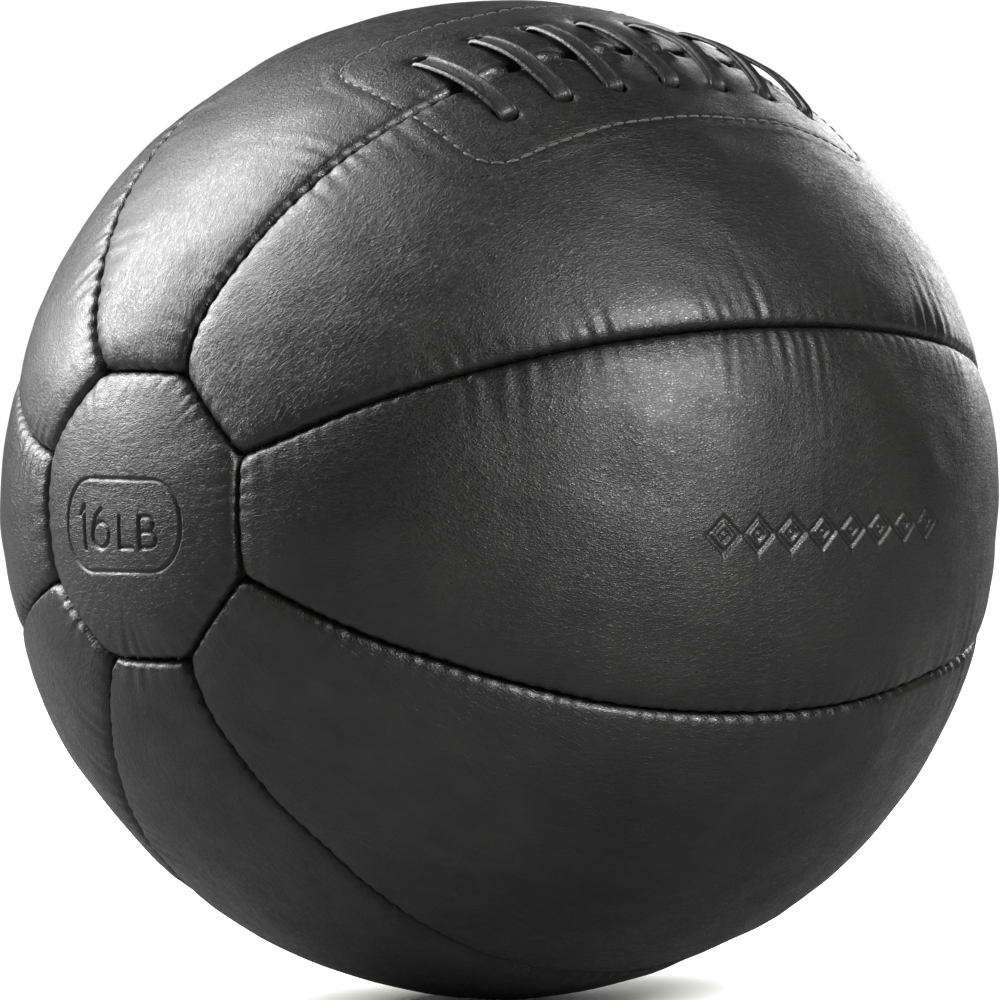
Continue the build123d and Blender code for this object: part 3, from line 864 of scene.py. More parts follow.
@dataclass
class Cap(Panel):
    """Eight-sided end piece, at the marked end (-1) or the plain end (1)."""

    end: int = -1
    mesh_step: float = 1.1
    mark: "WeightMark | None" = None
    pull_fades: tuple = (18.0, 30.0)  # between these distances from an edge
    round_size: float = 1.03  # of the grid's round middle, next to its eight-sided rim
    round_fades: tuple = (0.1, 0.7)  # between these shares of the cap
    inner_shares: tuple = (0.12, 0.88, 7)
    inner_turns: int = 24

    def levels(self) -> Array:
        """Places of the grid's lines, from -1 at one edge to 1 at the opposite one."""
        reach = self.cut.cap_across_flats / 2
        inner = graded(reach - self.near_seam()[-1], lambda x: self.mesh_step)
        positive = np.concatenate((inner, reach - self.near_seam()[::-1][1:])) / reach
        corner = np.argmin(np.abs(positive - 0.5))
        positive[corner] = 0.5
        return np.concatenate((-positive[:0:-1], positive))

    def spread(self) -> tuple[Array, Array]:
        """Tilt from this cap's pole and turn of every point of the outer face."""
        levels = self.levels()
        x, y = np.meshgrid(levels, levels, indexing="ij")
        size = np.maximum(np.abs(x), np.abs(y))
        wide = np.abs(x) >= np.abs(y)
        longer = np.where(wide, x, y)
        ratio = np.where(wide, y, x) / np.where(longer == 0, 1, longer)
        turn = np.where(wide, math.pi / 4 * ratio, math.pi / 2 - math.pi / 4 * ratio)
        turn = np.where(longer < 0, turn + math.pi, turn)
        size = np.where(size == 0, 1e-6, size)
        eight_sided = np.arctan(np.tan(size * self.cut.cap_flat) / np.cos(self.from_flat(turn)))
        round_middle = size * self.cut.cap_flat * self.round_size
        blend = smooth_step(size, *self.round_fades)
        return round_middle * (1 - blend) + eight_sided * blend, turn

    def from_flat(self, turn: Array) -> Array:
        """Turn from the middle of the nearest edge."""
        step = 2 * self.cut.half_gore
        return turn - np.round(turn / step) * step

    def direction(self, tilt: Array, turn: Array) -> Array:
        """Unit direction on the ball as cut, from this cap's own tilt."""
        return Cut.direction(tilt if self.end < 0 else math.pi - tilt, turn)

    def layout(self, tilt: Array, turn: Array) -> Array:
        """Coordinates on the flat cap: to the front, and up."""
        return np.stack((np.tan(tilt) * np.sin(turn), np.tan(tilt) * np.cos(turn)), axis=-1) * self.cut.radius

    def build(self) -> bpy.types.Object:
        """Make the cap's mesh, closed, with its layout and rims."""
        tilt, turn = self.spread()
        directions = self.direction(tilt, turn)
        layout = self.layout(tilt, turn)
        side = 0 if self.end < 0 else 1
        to_edges = []
        height = self.relief.body(directions)
        for number in range(self.cut.gores):
            edge_turn = (turn - 2 * self.cut.half_gore * number + math.pi) % (2 * math.pi) - math.pi
            reach = np.arctan2(np.sin(tilt) * np.cos(edge_turn), np.cos(tilt))
            distance = (self.cut.cap_flat - reach) * self.cut.radius
            along = edge_turn * self.cut.radius * math.sin(self.cut.cap_flat)
            pull = self.relief.seam_pull(distance, along, self.cut.gores + number, side, self.cap_tightness)
            height += pull * (1 - smooth_step(distance, *self.pull_fades))
            to_edges.append(distance)
        if self.mark:
            height += self.mark.depth_at(layout)
        height -= self.rolled_drop(*to_edges)
        nearest = np.minimum.reduce(to_edges)
        skin = Skin()
        places = self.shape.place(directions) * (self.cut.radius + height)[..., None]
        numbers = skin.add(places, layout, np.exp(-nearest / self.rim_fade))
        for first, second in zip(numbers[:-1], numbers[1:]):
            skin.bridge(first, second, closed=False)

        edge_tilt, edge_turn = border(tilt), border(turn)
        inset = self.cut.seam_gap / 2 + self.cut.allowance_thickness
        inner_tilt = self.cut.cap_edge(self.from_flat(edge_turn), -inset)
        edge_directions = self.direction(edge_tilt, edge_turn)
        inner_directions = self.direction(inner_tilt, edge_turn)
        depth = self.cut.leather + self.cut.allowance_depth
        sunk = self.cut.radius - self.sunk
        edge_radius = (sunk + self.relief.body(edge_directions) - depth)[:, None]
        inner_body = self.relief.body(inner_directions)
        sewn_edge, sewn_inner = self.shape.place(edge_directions), self.shape.place(inner_directions)
        inner_layout = self.layout(inner_tilt, edge_turn)
        shares, turns = np.meshgrid(np.linspace(*self.inner_shares),
                                    np.linspace(0, 2 * math.pi, self.inner_turns, endpoint=False))
        coarse_tilt = shares.ravel() * self.cut.cap_flat
        coarse_directions = self.direction(coarse_tilt, turns.ravel())
        coarse_radius = sunk + self.relief.body(coarse_directions) - self.cut.leather
        self.close(skin, border(numbers),
                   [(sewn_edge * edge_radius, border(layout)),
                    (sewn_inner * (sunk + inner_body - depth)[:, None], inner_layout),
                    (sewn_inner * (sunk + inner_body - self.cut.leather)[:, None], inner_layout)],
                   (self.shape.place(coarse_directions) * coarse_radius[:, None],
                    self.layout(coarse_tilt, turns.ravel())))
        return skin.mesh(self.name)


# ---- pressed marks


def stroke_distance(points: Array, strokes: list) -> Array:
    """Distance from points to the nearest of several strokes, each a row of corners."""
    best = np.full(points.shape[:-1], np.inf)
    for stroke in strokes:
        for a, b in zip(np.array(stroke[:-1]), np.array(stroke[1:])):
            run = b - a
            t = np.clip(((points - a) @ run) / (run @ run), 0, 1)
            best = np.minimum(best, np.linalg.norm(points - a - t[..., None] * run, axis=-1))
    return best


def arc_stroke(centre: tuple, size: tuple, start: float, stop: float, steps: int = 14) -> list:
    """Corners along part of an ellipse, its angles in degrees."""
    angles = np.radians(np.linspace(start, stop, steps))
    return [(centre[0] + size[0] * math.cos(a), centre[1] + size[1] * math.sin(a)) for a in angles]


@dataclass(frozen=True)
class WeightMark:
    """The ball's weight, pressed into the marked cap in plain strokes inside a rounded line."""

    centre: tuple = (-0.9, -2.7)
    half_size: tuple = (26.4, 13.8)
    corner: float = 12.8
    digit_height: float = 12.4
    letter_height: float = 9.2
    base: float = -9.2
    shift: float = 0.6  # of the figures, towards the front
    stroke: float = 0.66  # half the width of a pressed line
    depth: float = 0.75
    border_depth: float = 0.6

    def strokes(self) -> list:
        """Strokes of the number 16 and the unit LB, from left to right."""
        low, top, letter_top = self.base, self.base + self.digit_height, self.base + self.letter_height
        middle = (low + letter_top) / 2
        one = [[(-20.4, top - 2.4), (-18.2, top), (-18.2, low)]]
        bowl = arc_stroke((-9.6, low + 3.9), (4.2, 3.9), 0, 360, 24)
        six = [bowl, arc_stroke((-5.0, low + 3.9), (8.8, self.digit_height - 3.9), 180, 118, 10)]
        ell = [[(-0.4, letter_top), (-0.4, low), (5.2, low)]]
        bow = letter_top - middle
        stem = [(8.4, low), (8.4, letter_top), (11.6, letter_top)]
        upper = arc_stroke((11.6, middle + bow / 2), (2.6, bow / 2), 90, -90, 9)
        lower = arc_stroke((11.9, (middle + low) / 2), (3.3, (middle - low) / 2), 90, -90, 9)
        bee = [stem, upper + [(8.4, middle)], [(11.6, middle)] + lower + [(8.4, low)]]
        return one + six + ell + bee

    def depth_at(self, layout: Array) -> Array:
        """How far the press has sunk the leather at places on the flat cap."""
        outline = rounded_distance(layout[..., 0] - self.centre[0], layout[..., 1] - self.centre[1],
                                   self.half_size, self.corner)
        line = 1 - smooth_step(np.abs(outline), 0.15, 0.85)
        figures = stroke_distance(layout - np.array((self.shift, 0)), self.strokes())
        digits = 1 - smooth_step(figures, self.stroke * 0.35, self.stroke * 1.25)
        inside = 0.12 * (1 - smooth_step(outline, -2.5, 0.5))
        return -self.depth * digits - self.border_depth * line - inside


@dataclass(frozen=True)
class LozengeRow:
    """Plain pressed lozenges in a row along the front gore."""

    start: float = -51.0
    stop: float = 44.0
    middle: float = 3.2  # below the gore's middle
    half_height: float = 5.0
    count: int = 8
    stroke: float = 0.85
    depth: float = 0.75
    mesh_step: float = 0.45
    reach_across: float = 9.5

    def depth_at(self, along: Array, across: Array) -> Array:
        """How far the press has sunk the leather at places on the gore."""
        pitch = (self.stop - self.start) / self.count
        half_length = pitch * 0.43
        number = np.clip(np.floor((along - self.start) / pitch), 0, self.count - 1)
        x = np.abs(along - self.start - (number + 0.5) * pitch) / half_length
        y = np.abs(across - self.middle) / self.half_height
        slope = math.hypot(1 / half_length, 1 / self.half_height)
        outline = np.abs(x + y - 1) / slope
        core = np.abs(np.minimum(x + y - 0.3, 9)) / slope
        pressed = 1 - smooth_step(np.minimum(outline, core + 0.3), self.stroke * 0.35, self.stroke * 1.3)
        return -self.depth * pressed


# ---- the stuffed cover


@dataclass
class StuffedCover:
    """The whole cover as one cloth, held at its seams and pushed out by the stuffing."""

    cut: Cut
    rows: int = 96
    columns: int = 192
    frames: int = 16
    pressure: float = 3.0
    ease: float = -0.006  # the leather is this much larger than the space between its seams
    lumps: float = 0.15  # height of the unevenness that the cloth starts from
    held: tuple = (1.5, 5.0)  # distances from a seam between which the cloth comes free
    crown: float = 0.8  # height that the panels' middles are brought down to
    highest: float = 1.1
    lowest: float = -0.7

    def grid(self) -> tuple[Array, Array]:
        """Tilts and turns of the cloth's points."""
        tilts = np.linspace(0, math.pi, self.rows + 1)
        turns = np.linspace(0, 2 * math.pi, self.columns, endpoint=False)
        return np.meshgrid(tilts, turns, indexing="ij")

    def seam_distance(self, directions: Array) -> Array:
        """Distance from the nearest seam."""
        tilt = np.arccos(np.clip(np.abs(directions[..., 0]), 0, 1))
        turn = np.arctan2(-directions[..., 1], directions[..., 2])
        step = 2 * self.cut.half_gore
        from_flat = turn - np.round(turn / step) * step
        seam = (self.cut.half_gore - np.abs(from_flat)) * np.sin(tilt)
        edge = np.abs(np.arctan(np.tan(tilt) * np.cos(from_flat)) - self.cut.cap_flat)
        seam = np.where(tilt < self.cut.cap_flat, np.inf, seam)
        return np.minimum(np.abs(seam), edge) * self.cut.radius

    def simulate(self) -> Array:
        """Blow the cover up between its seams.

        Returns:
            How far each point of the grid has moved out, in millimetres.
        """
        tilt, turn = self.grid()
        directions = Cut.direction(tilt, turn)
        rng = np.random.default_rng(SEED + 1)
        start = self.lumps * Ripple(rng, 18, 40, 3)(directions * self.cut.radius)
        points = directions * (self.cut.radius + start)[..., None] * MM
        numbers = np.arange(points.shape[0] * self.columns).reshape(-1, self.columns)
        faces = []
        for upper, lower in zip(numbers[:-1], numbers[1:]):
            after = np.roll(upper, -1), np.roll(lower, -1)
            faces += np.stack((upper, lower, after[1], after[0]), axis=1).tolist()
        mesh = bpy.data.meshes.new("cover_cloth")
        mesh.from_pydata(points.reshape(-1, 3).tolist(), [], faces)
        cloth = link_object("cover_cloth", mesh)
        seams = cloth.vertex_groups.new(name="seams")
        weights = 1 - smooth_step(self.seam_distance(directions), *self.held)
        weights[0] = weights[-1] = 1.0
        for number, weight in enumerate(weights.ravel().tolist()):
            if weight > 0:
                seams.add([number], weight, "REPLACE")
        modifier = cloth.modifiers.new("cover", "CLOTH")
        settings = modifier.settings
        settings.quality = 4
        settings.mass = 0.4
        settings.tension_stiffness = settings.compression_stiffness = 20
        settings.shear_stiffness = 8
        settings.bending_stiffness = 1.5
        settings.vertex_group_mass = "seams"
        settings.use_pressure = True
        settings.uniform_pressure_force = self.pressure
        settings.shrink_min = self.ease
        settings.effector_weights.gravity = 0
        modifier.collision_settings.use_collision = False
        scene = bpy.context.scene
        modifier.point_cache.frame_start, modifier.point_cache.frame_end = 1, self.frames
        for step in range(1, self.frames + 1):
            scene.frame_set(step)
        final = cloth.evaluated_get(bpy.context.evaluated_depsgraph_get()).to_mesh()
        moved = np.empty(len(final.vertices) * 3)
        final.vertices.foreach_get("co", moved)
        scene.frame_set(1)
        bpy.data.objects.remove(cloth)
        bpy.data.meshes.remove(mesh)
        out = np.linalg.norm(moved.reshape(*tilt.shape, 3), axis=-1) / MM - self.cut.radius
        out[0], out[-1] = out[1].mean(), out[-2].mean()
        log.info("cover cloth moved between %.2f and %.2f mm", out.min(), out.max())
        middles = np.percentile(out, 95)
        return np.clip(out * (self.crown / max(middles, self.crown)), self.lowest, self.highest)


# ---- lace and linings


@dataclass
class Lace:
    """One flat leather lace: a knot, seven bars with diagonals behind them, and a second knot."""

    cut: Cut
    shape: SewnShape
    slit: Slit
    relief: Relief
    name: str = "sewn_lace"
    width: float = 6.9
    thickness: float = 1.7
    behind: float = 5.5  # depth of the inner runs below the ball's face
    knot_across: float = 31.5  # from the slit to a knot
    tail: float = 11.0  # from the last bar to the second knot
    knot_size: tuple = (8.2, 3.2)  # across, and thick
    # Half of a bar, from its hole to the slit: distance across and height over the ball.
    arch: tuple = ((20.5, -4.6), (20.6, -2.6), (20.3, -0.5), (18.4, 0.8), (14.0, 1.4), (8.0, 2.1), (2.6, 2.5))
    steps: int = 9  # points along each curve between two of its corners
    sway: float = 0.9  # of a bar's ends along the slit
    uneven_rise: float = 0.25  # of a bar over the ball
    twist: float = 0.06
    curl: float = 0.14  # of its width, from wear
    knot_lobes: float = 0.09
    bead_place: float = 0.78  # of the raised beads, as a share of half the width
    bead_width: float = 0.16

    def corners(self) -> tuple[Array, Array]:
        """The lace's route beside the slit, as (along, across, height), and its width's turn at each."""
        row = self.slit.hole_rows / 2
        places = self.slit.places
        tilt = math.atan2(self.slit.pitch, self.slit.hole_rows)
        route = [(places[0], self.knot_across, -self.behind), (places[0], row + 6, -self.behind)]
        turns = [0.0, 0.0]
        for number, place in enumerate(places):
            lean = self.sway * math.sin(2.3 * number + 0.6)
            for across, height in (*self.arch, *((-a, h) for a, h in reversed(self.arch))):
                swing = lean * across / row
                lift = self.uneven_rise * math.sin(1.7 * number + across / 9)
                route.append((place + swing, across, height + (lift if height > 0 else 0)))
                turns.append(self.twist * math.sin(3.1 * number + across / 6) if height > 0 else 0.0)
            if number < self.slit.bars - 1:
                for share in (0.12, 0.35, 0.65, 0.88):
                    route.append((place + self.slit.pitch * share, row * (2 * share - 1), -self.behind))
                    turns.append(tilt)
        end = places[-1]
        route += [(end + 1.5, -row + 6, -self.behind),
                  (end + self.tail - 1, self.knot_across - 8, -self.behind),
                  (end + self.tail, self.knot_across, -self.behind)]
        turns += [0.2, 0.2, 0.2]
        return np.array(route), np.array(turns)

    def smoothed(self, values: Array) -> Array:
        """Cubic B-spline through the neighbourhood of the corners, ending at the first and last."""
        padded = np.concatenate((values[:1], values[:1], values, values[-1:], values[-1:]))
        t = np.linspace(0, 1, self.steps, endpoint=False)
        basis = np.stack(((1 - t) ** 3, 3 * t**3 - 6 * t**2 + 4, -3 * t**3 + 3 * t**2 + 3 * t + 1, t**3)) / 6
        spans = [basis.T @ padded[i:i + 4] for i in range(len(padded) - 3)]
        return np.concatenate(spans)

    def section(self) -> Array:
        """Outline of the lace: flat below, with a raised bead along each edge above."""
        half, thick = self.width / 2, self.thickness / 2
        x = np.array((-1, -0.96, -0.88, -0.78, -0.64, -0.5, -0.25, 0, 0.25, 0.5, 0.64, 0.78, 0.88, 0.96, 1))
        bead = np.exp(-((np.abs(x) - self.bead_place) / self.bead_width) ** 2)
        rounded = np.sqrt(np.clip(1 - np.abs(x) ** 9, 0, 1))
        upper = thick * rounded * (0.30 + 0.75 * bead)
        lower = -thick * rounded[1:-1] * 0.75
        return np.concatenate((np.stack((x * half, upper), 1), np.stack((x[1:-1] * half, lower), 1)[::-1]))

    def build(self) -> bpy.types.Object:
        """Make the lace's mesh, with its knots."""
        route, turns = self.corners()
        line, turn = self.smoothed(route), self.smoothed(turns[:, None])[:, 0]
        as_cut = self.slit.direction(line[:, 0], line[:, 1])
        out = self.shape.place(as_cut)
        ahead = self.shape.place(self.slit.direction(line[:, 0] + 1, line[:, 1]))
        points = out * (self.cut.radius + line[:, 2] + self.relief.body(as_cut))[:, None]
        along = unit(ahead - out)
        tangent = unit(np.gradient(points, axis=0))
        side = along * np.cos(turn)[:, None] - np.cross(out, along) * np.sin(turn)[:, None]
        side = unit(side - tangent * (side * tangent).sum(1, keepdims=True))
        upward = np.cross(side, tangent)
        wear = Ripple(np.random.default_rng(SEED + 2), 7, 24, 3)
        bend = self.curl * wear(points)[:, None, None]
        outline = self.section()
        curled = outline[None, :, 1:] + bend * (np.abs(outline[None, :, :1]) / self.width)
        rings = points[:, None] + side[:, None] * outline[None, :, :1] + upward[:, None] * curled
        distance = np.concatenate(([0], np.cumsum(np.linalg.norm(np.diff(points, axis=0), axis=1))))
        skin = Skin()
        layout = np.stack(np.broadcast_arrays(distance[:, None], outline[None, :, 0]), axis=-1)
        rim = np.broadcast_to((np.abs(outline[:, 0]) / (self.width / 2)) ** 4, rings.shape[:2])
        numbers = skin.add(rings, layout, rim)
        for first, second in zip(numbers[:-1], numbers[1:]):
            skin.bridge(first, second, closed=True)
        skin.faces += [tuple(numbers[0].tolist()), tuple(numbers[-1][::-1].tolist())]
        for at in (0, -1):
            self.add_knot(skin, points[at], out[at], along[at])
        return skin.mesh(self.name)

    def add_knot(self, skin: Skin, place: Array, out: Array, along: Array) -> None:
        """Add a flattened knot of two turns of lace at one end."""
        radius, thick = self.knot_size[0] / 2, self.knot_size[1] / 2
        across = np.cross(out, along)
        a, b = np.meshgrid(np.linspace(0, 2 * math.pi, 28, endpoint=False),
                           np.linspace(0, math.pi, 12), indexing="ij")
        lobes = 1 + self.knot_lobes * np.cos(3 * a)
        flat = np.sign(np.cos(b)) * np.abs(np.cos(b)) ** 0.7
        points = (place - out * thick * 0.6 + along * (radius * lobes * np.sin(b) * np.cos(a))[..., None]
                  + across * (radius * lobes * np.sin(b) * np.sin(a))[..., None]
                  + out * (thick * flat)[..., None])
        numbers = skin.add(points, np.stack((a * radius, b * radius), -1), 0.0)
        for first, second in zip(numbers, np.roll(numbers, -1, axis=0)):
            skin.bridge(first, second, closed=False)


def sewn_copy(node: str, name: str, shape: SewnShape) -> bpy.types.Object:
    """Copy a CAD piece and move it to where it lies on the sewn ball.

    Args:
        node: The CAD node to copy.
        name: The copy's name.
        shape: How the sewn ball differs from the cut one.

    Returns:
        The copy, merged into whole faces and without a finish.
    """
    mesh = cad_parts[node].data.copy()
    mesh.name = name
    work = bmesh.new()
    work.from_mesh(mesh)
    bmesh.ops.remove_doubles(work, verts=work.verts, dist=0.001 * MM)
    work.to_mesh(mesh)
    work.free()
    points = np.empty(len(mesh.vertices) * 3)
    mesh.vertices.foreach_get("co", points)
    points = points.reshape(-1, 3)
    lengths = np.linalg.norm(points, axis=1, keepdims=True)
    mesh.vertices.foreach_set("co", (shape.place(points / lengths) * lengths).ravel())
    mesh.materials.clear()
    mesh.update()
    return link_object(name, mesh)


# ---- stitches


class Stitch(Enum):
    """The two hand stitches on the ball."""

    SADDLE = "saddle"
    RUNNING = "running"


@dataclass
class StitchRow:
    """Thread along a path, made by geometry nodes as a row of equal stitches."""

    stitch: Stitch
    pitch: float
    width: float
    height: float
    dash: float  # length of the thread that shows between two holes
    depth: float  # width between a saddle stitch's rails, or length of a leg
    segments: int = 8
    unevenness: float = 0.12  # of the stitches' sizes

    def tree(self) -> bpy.types.NodeTree:
        """Build the node tree, with named inputs for its sizes."""
        tree = bpy.data.node_groups.new(f"{self.stitch.value}_stitch", "GeometryNodeTree")
        face = tree.interface
        face.new_socket("Geometry", in_out="INPUT", socket_type="NodeSocketGeometry")
        for name in ("Pitch", "Thread Width", "Thread Height", "Dash Length", "Depth", "Unevenness"):
            face.new_socket(name, in_out="INPUT", socket_type="NodeSocketFloat")
        face.new_socket("Seed", in_out="INPUT", socket_type="NodeSocketInt")
        face.new_socket("Thread", in_out="INPUT", socket_type="NodeSocketMaterial")
        face.new_socket("Geometry", in_out="OUTPUT", socket_type="NodeSocketGeometry")
        given = add_node(tree, "NodeGroupInput").outputs

        def math_node(operation: str, a, b) -> bpy.types.NodeSocket:
            """Result of a sum or product."""
            return add_node(tree, "ShaderNodeMath", {0: a, 1: b}, operation=operation).outputs[0]

        def vector(x, y, z) -> bpy.types.NodeSocket:
            """Vector of three numbers."""
            return add_node(tree, "ShaderNodeCombineXYZ", {0: x, 1: y, 2: z}).outputs[0]

        ball = add_node(tree, "GeometryNodeMeshUVSphere",
                        {"Segments": self.segments, "Rings": 6, "Radius": 0.5}).outputs["Mesh"]
        size = vector(given["Dash Length"], given["Thread Width"], given["Thread Height"])
        bar = add_node(tree, "GeometryNodeMeshCylinder",
                       {"Vertices": self.segments, "Radius": math_node("MULTIPLY", given["Thread Width"], 0.38),
                        "Depth": given["Depth"]}).outputs["Mesh"]
        joined = add_node(tree, "GeometryNodeJoinGeometry")

        def put(shape, place, turn=(0, 0, 0), scale=(1, 1, 1)) -> None:
            """Add one part of the stitch."""
            part = add_node(tree, "GeometryNodeTransform", {"Geometry": shape, "Translation": place,
                                                            "Rotation": turn, "Scale": scale})
            tree.links.new(part.outputs[0], joined.inputs[0])

        if self.stitch is Stitch.SADDLE:
            put(bar, (0, 0, 0), turn=(math.pi / 2, 0, 0))
            ahead = math_node("MULTIPLY", given["Pitch"], 0.5)
            for side in (-0.5, 0.5):
                put(ball, vector(ahead, math_node("MULTIPLY", given["Depth"], side), 0), scale=size)
        else:
            put(ball, (0, 0, 0), scale=size)
            drop = math_node("MULTIPLY", given["Depth"], -0.5)
            for side in (-0.44, 0.44):
                put(bar, vector(math_node("MULTIPLY", given["Dash Length"], side), 0, drop))
        line = add_node(tree, "GeometryNodeMeshToCurve", {"Mesh": given["Geometry"]})
        evenly = add_node(tree, "GeometryNodeResampleCurve",
                          {"Curve": line.outputs[0], "Length": given["Pitch"]}, mode="LENGTH")
        place = add_node(tree, "GeometryNodeInputPosition").outputs[0]
        upright = add_node(tree, "FunctionNodeAlignRotationToVector", {"Vector": place}, axis="Z")
        tangent = add_node(tree, "GeometryNodeInputTangent").outputs[0]
        turned = add_node(tree, "FunctionNodeAlignRotationToVector",
                          {"Rotation": upright.outputs[0], "Vector": tangent}, axis="X", pivot_axis="Z")
        low = math_node("SUBTRACT", 1.0, given["Unevenness"])
        high = math_node("ADD", 1.0, given["Unevenness"])
        scale = add_node(tree, "FunctionNodeRandomValue", {"Min": vector(low, low, low),
                                                           "Max": vector(high, high, high),
                                                           "Seed": given["Seed"]}, data_type="FLOAT_VECTOR")
        rows = add_node(tree, "GeometryNodeInstanceOnPoints",
                        {"Points": evenly.outputs[0], "Instance": joined.outputs[0],
                         "Rotation": turned.outputs[0], "Scale": scale.outputs[0]})
        real = add_node(tree, "GeometryNodeRealizeInstances", {"Geometry": rows.outputs[0]})
        smooth = add_node(tree, "GeometryNodeSetShadeSmooth", {"Geometry": real.outputs[0]})
        dressed = add_node(tree, "GeometryNodeSetMaterial",
                           {"Geometry": smooth.outputs[0], "Material": given["Thread"]})
        add_node(tree, "NodeGroupOutput", {"Geometry": dressed.outputs[0]})
        return tree

    def sew(self, name: str, paths: list, material: bpy.types.Material, seed: int) -> bpy.types.Object:
        """Sew along paths and give the thread as one plain mesh.

        Args:
            name: The thread's name.
            paths: Rows of points, in millimetres.
            material: The thread's finish.
            seed: What the unevenness of the stitches is drawn from.

        Returns:
            The thread.
        """
        points, edges = [], []
        for path in paths:
            first = len(points)
            points += (np.asarray(path) * MM).tolist()
            edges += [(i, i + 1) for i in range(first, len(points) - 1)]
        mesh = bpy.data.meshes.new(name + "_path")
        mesh.from_pydata(points, edges, [])
        carrier = link_object(name + "_path", mesh)
        modifier = carrier.modifiers.new("stitches", "NODES")
        modifier.node_group = self.tree()
        sizes = {"Pitch": self.pitch * MM, "Thread Width": self.width * MM, "Thread Height": self.height * MM,
                 "Dash Length": self.dash * MM, "Depth": self.depth * MM, "Unevenness": self.unevenness,
                 "Seed": seed, "Thread": material}
        for item in modifier.node_group.interface.items_tree:
            if item.in_out == "INPUT" and item.name in sizes:
                modifier[item.identifier] = sizes[item.name]
        evaluated = carrier.evaluated_get(bpy.context.evaluated_depsgraph_get())
        made = bpy.data.meshes.new_from_object(evaluated, depsgraph=bpy.context.evaluated_depsgraph_get())
        made.name = name
        carrier.modifiers.clear()
        tree = next(group for group in bpy.data.node_groups if group.users == 0)
        bpy.data.objects.remove(carrier)
        bpy.data.meshes.remove(mesh)
        bpy.data.node_groups.remove(tree)
        return link_object(name, made)


# ---- finishes


